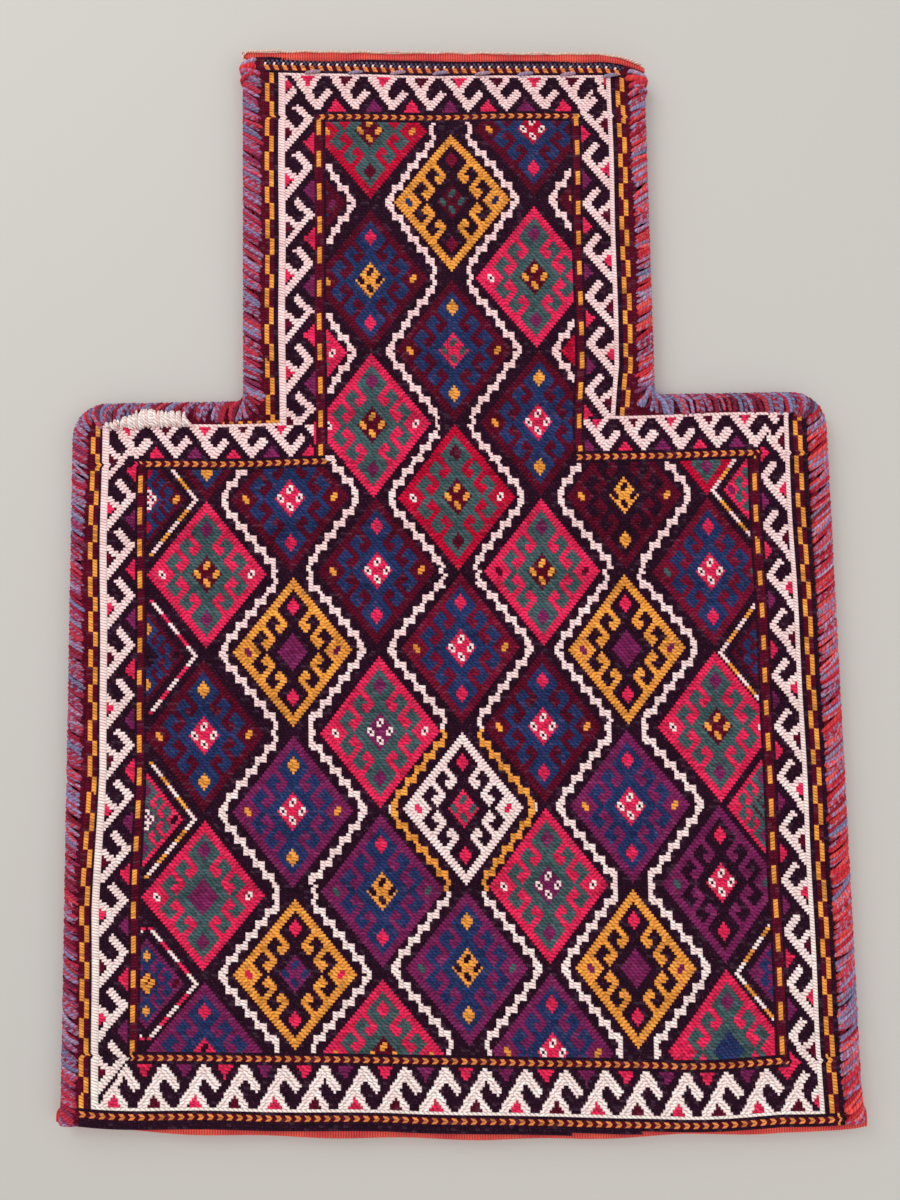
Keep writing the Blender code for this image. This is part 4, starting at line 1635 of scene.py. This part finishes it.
class Rail:
    """A line of points along the bag's edge, with the cloth on its left or on its right."""

    def __init__(self, points, side):
        self.points = np.array(points, float)
        steps = np.linalg.norm(np.diff(self.points, axis=0), axis=1)
        self.marks = np.concatenate([[0], np.cumsum(steps)])
        self.length = self.marks[-1]
        self.side = side

    def at(self, distance):
        """Points of the rail, which runs straight on beyond its last one."""
        x, y = (np.interp(distance, self.marks, self.points[:, axis]) for axis in (0, 1))
        over = np.clip(distance - self.length, 0, None)[..., None] + np.clip(distance, None, 0)[..., None]
        return np.stack([x, y], axis=-1) + over * unit(self.points[-1] - self.points[-2])

    def inwards(self, distance):
        """The direction into the cloth."""
        run = unit(self.at(distance + 0.001) - self.at(distance - 0.001))
        return np.stack([-run[..., 1], run[..., 0]], axis=-1) * self.side


def arc(middle, radius, start, stop):
    """Points along part of a circle, given its angles in quarter turns."""
    angles = np.linspace(start, stop, ARC_STEPS + 1) * math.pi / 2
    return [(middle[0] + radius * math.cos(angle), middle[1] + radius * math.sin(angle)) for angle in angles]


def edge_rails(side):
    """The rails of one side: up the body and in over the shoulder, and up the neck."""
    heights = np.linspace(float(bottom_line(BOTTOM_HALF * side)), SHOULDER_Y - CORNER_RADIUS, 60)
    points = [(float(half_width(y)), y) for y in heights]
    points += arc((SHOULDER_WIDTH / 2 - CORNER_RADIUS, SHOULDER_Y - CORNER_RADIUS), CORNER_RADIUS, 0, 1)[1:]
    points += arc((NECK_HALF + FOOT_ROUND, SHOULDER_Y + FOOT_ROUND), FOOT_ROUND, 3, 2)
    body = Rail([(side * x, y) for x, y in points], side)
    top = float(mouth_line(side * NECK_HALF))
    neck = Rail([(side * NECK_HALF, SHOULDER_Y + FOOT_ROUND), (side * NECK_HALF, top)], side)
    return body, neck


RAILS = {side: edge_rails(side) for side in (-1, 1)}
BEND_AT = SHOULDER_Y - CORNER_RADIUS - float(bottom_line(BOTTOM_HALF)) + CORNER_RADIUS * math.pi / 4
print("body rail, mm:", round(1000 * RAILS[1][0].length), "neck rail, mm:", round(1000 * RAILS[1][1].length))

# %% [markdown]
# Overcasting winds yarn round the edge of both walls and over a bundle of thick yarns that pads it. Each
# turn comes up through the cloth, crosses the edge at a slant, runs along the rim for a moment and goes down
# again. No two turns are alike: they lie closer or wider, higher or lower, and some steeper. The weaver
# worked with two reds and now and then a blue-grey, and many of her yarns are plied from both.

# %% Wind yarn over an edge
LOOP_POINTS = 18
LOOP_POWER = 0.55
LOOP_TOP = CLOTH_TOP + 0.0005
LOOP_LOW = 0.0004
FOOT_GAP = 0.0006
PLACE_CHANGE = 0.00036
WIDTH_CHANGE = 0.06
SLANT_CHANGE = 0.16
TOP_CHANGE = 0.00030
RADIUS_CHANGE = 0.13
COLOUR_CHANGE = 0.16
PALE_SHARE = 0.30
MARLED_SHARE = 0.50
MARL_MIX = 0.62


def yarn_dyes(count, reds, pales):
    """Colours of both plies of so many yarns: mostly red, some pale, and some plied from both."""
    pale = random.random(count) < PALE_SHARE
    marled = random.random(count) < MARLED_SHARE
    level = 1 + random.normal(0, COLOUR_CHANGE, (count, 1))
    red = np.array([linear(dye) for dye in reds])[random.integers(0, len(reds), count)]
    grey = np.array([linear(dye) for dye in pales])[random.integers(0, len(pales), count)]
    colours = np.where(pale[:, None], grey, red) * level
    other = np.where(pale[:, None], red, grey)
    plies = np.where(marled[:, None], colours * (1 - MARL_MIX) + other * MARL_MIX, colours * (1 - PLY_CHANGE))
    return colours, plies


def overcast(name, rail, places, width, slant, rim, radius, dyes):
    """One closed turn of yarn at each place along the rail. Width is how far it reaches into the cloth."""
    count = len(places)
    places = np.asarray(places) + random.normal(0, PLACE_CHANGE, count)
    wide = (width * (1 + random.normal(0, WIDTH_CHANGE, count)))[:, None]
    thick = (radius * (1 + random.normal(0, RADIUS_CHANGE, count)))[:, None]
    lean = (slant + random.normal(0, SLANT_CHANGE, count))[:, None]
    top = (LOOP_TOP + np.clip(random.normal(0, TOP_CHANGE, count), -2 * TOP_CHANGE, 2 * TOP_CHANGE))[:, None]
    angle = (np.arange(LOOP_POINTS) * math.tau / LOOP_POINTS)[None, :]
    inside = thick * 0.6 + (wide - thick) * (1 + softened(np.cos(angle), LOOP_POWER)) / 2
    z = (top + LOOP_LOW) / 2 + ((top - LOOP_LOW) / 2 - thick) * softened(np.sin(angle), LOOP_POWER)
    rim_run, rim_depth = rim
    in_rim = np.clip((rim_depth - inside) / rim_depth, 0, 1) ** 1.5
    along = np.maximum(places[:, None] - lean * inside + rim_run * in_rim, FOOT_GAP)
    flat = rail.at(along) + rail.inwards(along) * inside[..., None]
    paths = np.concatenate([flat, z[..., None]], axis=2)
    run = unit(rail.at(places + 0.001) - rail.at(places - 0.001))
    reference = np.concatenate([run, np.zeros((count, 1))], axis=1)[:, None]
    radii = np.broadcast_to(thick, z.shape)
    colours, plies = yarn_dyes(count, *dyes)
    return yarn_piece(name, paths, radii, colours, reference, True, plies)


# %% [markdown]
# Between the turns one could look through to the cloth's edge, where the real bag shows more wool. Two thick
# yarns inside the winding close the gaps, and they are why the edge feels like a cord. Their dark crimson is
# painted shade: the colour of the shade that falls between the turns.

# %% The bundle under the winding
BUNDLE_YARN = 0.0036
BUNDLE_INSET = 0.0006
BUNDLE_COUNT = 2
BUNDLE_STEP = 0.002
# The bundle is padding, and its dark crimson is painted shade between the turns.
BUNDLE_SHADE_RED = (150, 32, 50)


def bundle(name, rail, start, stop, reach, dye):
    """The thick yarns that lie along the edge under the winding."""
    places = np.linspace(start, stop, round((stop - start) / BUNDLE_STEP) + 1)
    insides = np.linspace(BUNDLE_YARN + BUNDLE_INSET, reach - BUNDLE_YARN, BUNDLE_COUNT)
    flat = [rail.at(places) + rail.inwards(places) * inside for inside in insides]
    middle = np.full((BUNDLE_COUNT, len(places), 1), LOOP_TOP / 2)
    paths = np.concatenate([np.array(flat), middle], axis=2)
    colours = np.repeat(linear(dye)[None], BUNDLE_COUNT, axis=0)
    return yarn_piece(name, paths, np.full(paths.shape[:2], BUNDLE_YARN), colours, (0.0, 0.0, 1.0), False)


def evenly(start, stop, pitch):
    count = round((stop - start) / pitch)
    return start + (np.arange(count) + 0.5) * (stop - start) / count


# %% [markdown]
# The two sides differ. The left one has turned purple, the right one is still brick red and leaves a strip
# of plain weave beside it. On the shoulders the yarn is thicker and stands square to the edge before it runs
# along the rim like a rope, and at the foot of the neck its turns fan out round the corner.

# %% Wind the edges
SIDE_PITCH = 0.00135
SHOULDER_PITCH = 0.00185
SIDE_YARN = 0.00098
SHOULDER_YARN = 0.00118
SIDE_RIM = (0.0016, 0.0030)
SHOULDER_RIM = (0.0062, 0.0050)
GREYS = ((146, 134, 172), (128, 124, 162), (164, 146, 176))
LEFT_DYES = (((186, 48, 74), (160, 40, 66), (200, 62, 78), (150, 56, 92)), GREYS)
RIGHT_DYES = (((214, 62, 66), (196, 46, 58), (230, 82, 78), (176, 36, 56)), GREYS)
SHOULDER_REDS = ((172, 44, 62), (136, 40, 60), (196, 66, 76), (120, 56, 84))
SHOULDER_DYES = (SHOULDER_REDS, ((122, 128, 166), (146, 140, 178)))
SHOULDER_WIDTH_IN = 0.0122
SHOULDER_SLANT = 0.12
SHOULDER_OVERLAP = 0.002
TIE_ROOM = 0.010
SIDE_WIDTHS = {-1: 0.0086, 1: 0.0102}
SIDE_SLANTS = {-1: 0.65, 1: 0.80}
NECK_WIDTHS = {-1: 0.0104, 1: 0.0088}
NECK_SLANTS = {-1: 0.60, 1: 0.50}
SIDE_NAMES = {-1: "left", 1: "right"}
FAN_TURNS = 12
FAN_LENGTH = FOOT_ROUND * math.pi / 2

bound_edges = {}
pads = {}
for side, word in SIDE_NAMES.items():
    body_rail, neck_rail = RAILS[side]
    dyes = LEFT_DYES if side < 0 else RIGHT_DYES
    end = body_rail.length
    corner = end - FAN_LENGTH
    neck_top = neck_rail.length - TIE_ROOM
    shoulder_places = evenly(BEND_AT - SHOULDER_OVERLAP, corner, SHOULDER_PITCH)
    fan = evenly(corner, end, FAN_LENGTH / FAN_TURNS)
    side_look = (SIDE_WIDTHS[side], SIDE_SLANTS[side], SIDE_RIM, SIDE_YARN, dyes)
    shoulder_look = (SHOULDER_WIDTH_IN, SHOULDER_SLANT, SHOULDER_RIM, SHOULDER_YARN, SHOULDER_DYES)
    neck_look = (NECK_WIDTHS[side], NECK_SLANTS[side], SIDE_RIM, SIDE_YARN, dyes)
    for edge, rail, places, (start, stop), look in (
        ("side", body_rail, evenly(0.0, BEND_AT, SIDE_PITCH), (FOOT_GAP, BEND_AT), side_look),
        ("shoulder", body_rail, np.concatenate([shoulder_places, fan]), (BEND_AT, end), shoulder_look),
        ("neck", neck_rail, evenly(0.0, neck_top, SIDE_PITCH), (0.0, neck_top + MILLIMETRE), neck_look),
    ):
        name = f"{word}_{edge}_bundle"
        pads[edge, name] = bundle(name, rail, start, stop, look[0], BUNDLE_SHADE_RED)
        name = f"{word}_{edge}_overcast"
        bound_edges[name] = overcast(name, rail, places, *look)

# %% [markdown]
# The corners of the mouth are fastened just under the hem with a few thick turns of red and blue-grey yarn.
# Each turn is a closed ring round the corner, tipped a little against the next.

# %% The ties at the mouth's corners
TIE_DYES = {
    -1: ((150, 130, 168), (216, 44, 56), (176, 110, 150), (200, 52, 66)),
    1: ((140, 132, 172), (206, 60, 66), (190, 50, 64), (150, 140, 176)),
}
TIE_PLIES = ((196, 150, 176), (226, 70, 66), (206, 60, 80), (168, 40, 60))
TIE_PLACES = (0.0068, 0.0092, 0.0122, 0.0146)
TIE_RADII = (0.0011, 0.0017, 0.0014, 0.0011)
TIE_REACH = {-1: (0.0078, 0.0072, 0.0098, 0.0084), 1: (0.0090, 0.0100, 0.0084, 0.0070)}
TIE_LEANS = (0.45, 0.10, -0.25, 0.40)
TIE_RISE = 0.0010
TIE_AT = 0.96
TIE_SLACK = 0.0004


def tie(side):
    """Four thick turns of yarn round the corner of the mouth."""
    angle = np.arange(LOOP_POINTS) * math.tau / LOOP_POINTS
    top = float(mouth_line(side * NECK_HALF * TIE_AT))
    high = LOOP_TOP + TIE_RISE
    paths = []
    for lean, reach, place, radius in zip(TIE_LEANS, TIE_REACH[side], TIE_PLACES, TIE_RADII):
        inside = reach / 2 + reach / 2 * softened(np.cos(angle), LOOP_POWER) - TIE_SLACK
        x = side * (NECK_HALF - inside)
        y = top - place + lean * (inside - reach / 2)
        z = (high + LOOP_LOW) / 2 + ((high - LOOP_LOW) / 2 - radius) * softened(np.sin(angle), LOOP_POWER)
        paths.append(np.stack([x, y, z], axis=1))
    colours = np.array([linear(dye) for dye in TIE_DYES[side]])
    plies = np.array([linear(dye) for dye in TIE_PLIES])
    radii = np.repeat(np.array(TIE_RADII)[:, None], LOOP_POINTS, axis=1)
    name = SIDE_NAMES[side] + "_corner_tie"
    return yarn_piece(name, np.array(paths), radii, colours, (0.0, 1.0, 0.0), True, plies)


ties = {side: tie(side) for side in (-1, 1)}

# %% [markdown]
# Somebody mended the worn left shoulder with undyed yarn: about thirty stitches side by side, short at the
# ends and long in the middle. Each is a short yarn that lies on the binding and dips into the cloth.

# %% The mended shoulder
MEND_COUNT = 32
MEND_RADIUS = 0.00098
MEND_POINTS = 9
MEND_RISE = 0.0013
MEND_TOPS = ((0.0, 0.46, 0.70, 0.90, 1.0), (0.12, 1.0, 0.86, 0.84, 0.10))
MEND_DYES = ((255, 246, 240), (255, 232, 226), (255, 240, 232), (250, 214, 208))


def short_yarns(name, starts, stops, radius, low, rise, colours):
    """Short open yarns from starts to stops in the plane, each arching up by rise."""
    share = np.linspace(0, 1, MEND_POINTS)[None, :, None]
    flat = starts[:, None] * (1 - share) + stops[:, None] * share
    bow = np.sin(share[..., 0] * math.pi) ** 0.6
    z = low + rise * bow + np.zeros(len(starts))[:, None]
    paths = np.concatenate([flat, z[..., None]], axis=2)
    radii = radius * (0.55 + 0.45 * bow) * (1 + random.normal(0, RADIUS_CHANGE, len(starts)))[:, None]
    return yarn_piece(name, paths, radii, colours, (0.0, 0.0, 1.0), False)


def mend():
    low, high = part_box("ivory_repair_whipping")
    share = np.linspace(0.01, 0.99, MEND_COUNT)
    x = low.x + (high.x - low.x) * share
    top = low.y + (high.y - low.y) * np.interp(share, *MEND_TOPS)
    top = top + random.normal(0, 0.0005, MEND_COUNT)
    foot = low.y - 0.0006 + random.normal(0, 0.0006, MEND_COUNT)
    lean = random.normal(-0.0007, 0.0005, MEND_COUNT)
    starts = np.stack([x, foot], axis=1)
    stops = np.stack([x + lean, np.maximum(top, foot + 0.0016)], axis=1)
    dyes = np.array([linear(MEND_DYES[number % len(MEND_DYES)]) for number in range(MEND_COUNT)])
    return short_yarns("shoulder_mend", starts, stops, MEND_RADIUS, CLOTH_TOP + 0.0001, MEND_RISE, dyes)


shoulder_mend = mend()

# %% [markdown]
# Eight loose stitches of lavender-grey yarn tack the hem down, and one pale strand runs along the mouth's
# very edge. They are divided at the middle like the front.

# %% Tacking stitches and the pale strand along the mouth
TACK_DYES = ((158, 142, 172), (182, 148, 168))
TACK_RADIUS = 0.00095
TACK_REACH = 0.0014
TACK_DROP = (-0.0004, -0.0014)
TACK_RISE = 0.0007
STRAND_DYE = (240, 206, 186)
STRAND_RADIUS = 0.0006
STRAND_STEP = 0.0030
STRAND_INSET = 0.0009
STRAND_WAVER = 0.0002
STRAND_CURL = np.array(
    [(-0.0026, 0.0078), (-0.0034, 0.0062), (-0.0036, 0.0044), (-0.0031, 0.0027), (-0.0017, 0.0014)]
)


def tacks(name, numbers):
    """The tacking stitches with these numbers."""
    boxes = [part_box(f"hem_tack_{number}") for number in numbers]
    starts = np.array([(low.x - TACK_REACH, low.y - TACK_DROP[0]) for low, high in boxes])
    stops = np.array([(high.x + TACK_REACH, low.y - TACK_DROP[1]) for low, high in boxes])
    dyes = np.array([linear(TACK_DYES[number % 2]) for number in numbers])
    return short_yarns(name, starts, stops, TACK_RADIUS, CLOTH_TOP - 0.0004, TACK_RISE, dyes)


def edge_strand(name, start, stop):
    """A pale yarn that lies along the top of the hem."""
    x = np.linspace(start, stop, round(abs(stop - start) / STRAND_STEP) + 1)
    y = mouth_line(x) - STRAND_INSET + STRAND_WAVER * np.sin(400 * x)
    if start < -NECK_HALF * 0.9:
        x = np.concatenate([start + STRAND_CURL[:, 0], x])
        y = np.concatenate([mouth_line(start) - STRAND_CURL[:, 1], y])
    z = CLOTH_TOP + 0.0001 + STRAND_WAVER * np.sin(260 * x + 1)
    path = np.stack([x, y, z], axis=1)[None]
    radii = np.full(path.shape[:2], STRAND_RADIUS)
    return yarn_piece(name, path, radii, linear(STRAND_DYE)[None], (0.0, 0.0, 1.0), False)


left_tacks = tacks("left_tacks", (1, 2, 3, 4))
right_tacks = tacks("right_tacks", (5, 6, 7, 8))
left_strand = edge_strand("left_strand", -NECK_HALF + 0.004, 0.0)
right_strand = edge_strand("right_strand", 0.0, NECK_HALF - 0.002)

# %% [markdown]
# An export bakes each material into a picture, and needs a second, flat UV map for that, named OFBake. Seen
# from the front the whole bag is flat, so the map is each point's place in the piece's own box. Faces that
# look down would land on top of those that look up, so they get a strip of the map for themselves.

# %% A flat map named OFBake
STRIP_GAP = 0.995


def flat_map(piece, under_share=0.5):
    """Each corner's place in the piece's own box, the underside in a strip with this share of the width."""
    mesh = piece.data
    places = np.empty(len(mesh.vertices) * 3, np.float32)
    mesh.vertices.foreach_get("co", places)
    places = places.reshape(-1, 3)[:, :2]
    loops = np.empty(len(mesh.loops), np.int32)
    mesh.loops.foreach_get("vertex_index", loops)
    normals = np.empty(len(mesh.polygons) * 3, np.float32)
    mesh.polygons.foreach_get("normal", normals)
    corners = np.empty(len(mesh.polygons), np.int32)
    mesh.polygons.foreach_get("loop_total", corners)
    below = np.repeat(normals[2::3] < 0, corners)
    low = places.min(axis=0)
    flat = (places[loops] - low) / (places.max(axis=0) - low) * STRIP_GAP
    flat[:, 0] = np.where(below, 1 - under_share * flat[:, 0], (1 - under_share) * flat[:, 0])
    corner_map(piece, "OFBake", flat)


# %% [markdown]
# Last, most pieces hide the parts of the imported model that they stand for. Some are also hung on an
# empty named after the body that they lie on, the bag's body or its neck.

# %% Hide the imported parts and hang pieces on their bodies
UNDER_SHARE = 0.15


def over_fold(piece, slot, *nodes):
    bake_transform(piece)
    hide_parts(*nodes)


def from_side(piece, side, slot, *nodes):
    side * NECK_HALF
    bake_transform(piece)
    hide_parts(*nodes)


def riding(piece, body, slot, *nodes):
    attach(piece, body)
    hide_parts(*nodes)


walls = (body_front, neck_front_left, neck_front_right)
for wall in walls:
    flat_map(wall, UNDER_SHARE)
bands_and_yarns = [back_cloth, bottom_roll, back_hem, front_hem_left, front_hem_right, shoulder_mend]
bands_and_yarns += [left_tacks, right_tacks, left_strand, right_strand]
for piece in [*bands_and_yarns, *bound_edges.values(), *ties.values(), *pads.values()]:
    flat_map(piece)

over_fold(body_front, "patterned_front", "front_panel")
over_fold(back_cloth, "plain_back", "back_panel", "neck_back_panel")
riding(bottom_roll, "bag_body", "brick_hem", "bottom_fold")
riding(back_hem, "neck", "brick_hem", "back_mouth_hem")
riding(shoulder_mend, "bag_body", "ivory_yarn", "ivory_repair_whipping")
for side, cloth, hem in ((-1, neck_front_left, front_hem_left), (1, neck_front_right, front_hem_right)):
    from_side(cloth, side, "patterned_front", "neck_front_panel")
    from_side(hem, side, "brick_hem", "front_mouth_hem")
from_side(left_tacks, -1, "tack_yarn", "hem_tack_1", "hem_tack_2", "hem_tack_3", "hem_tack_4")
from_side(right_tacks, 1, "tack_yarn", "hem_tack_5", "hem_tack_6", "hem_tack_7", "hem_tack_8")
from_side(left_strand, -1, "brick_hem")
from_side(right_strand, 1, "brick_hem")
for side, word in SIDE_NAMES.items():
    riding(bound_edges[word + "_side_overcast"], "bag_body", "edge_binding", word + "_side_binding")
    name = word + "_shoulder_overcast"
    riding(bound_edges[name], "bag_body", "shoulder_binding", word + "_shoulder_binding")
    over_fold(bound_edges[word + "_neck_overcast"], "edge_binding", word + "_neck_binding")
    riding(ties[side], "neck", "tie_yarn", word + "_mouth_tie")

for (edge, name), padding in pads.items():
    slot = "shoulder_binding" if edge == "shoulder" else "edge_binding"
    if edge == "neck":
        over_fold(padding, slot)
    else:
        riding(padding, "bag_body", slot)

# %% [markdown]

# %% [markdown]
# The imported model's box is printed. The dressed bag may not outgrow the imported one by more than cloth
# does.

# %% Print the imported model's box
print("CAD box:", [[round(value, 4) for value in corner] for corner in CAD_BOX])
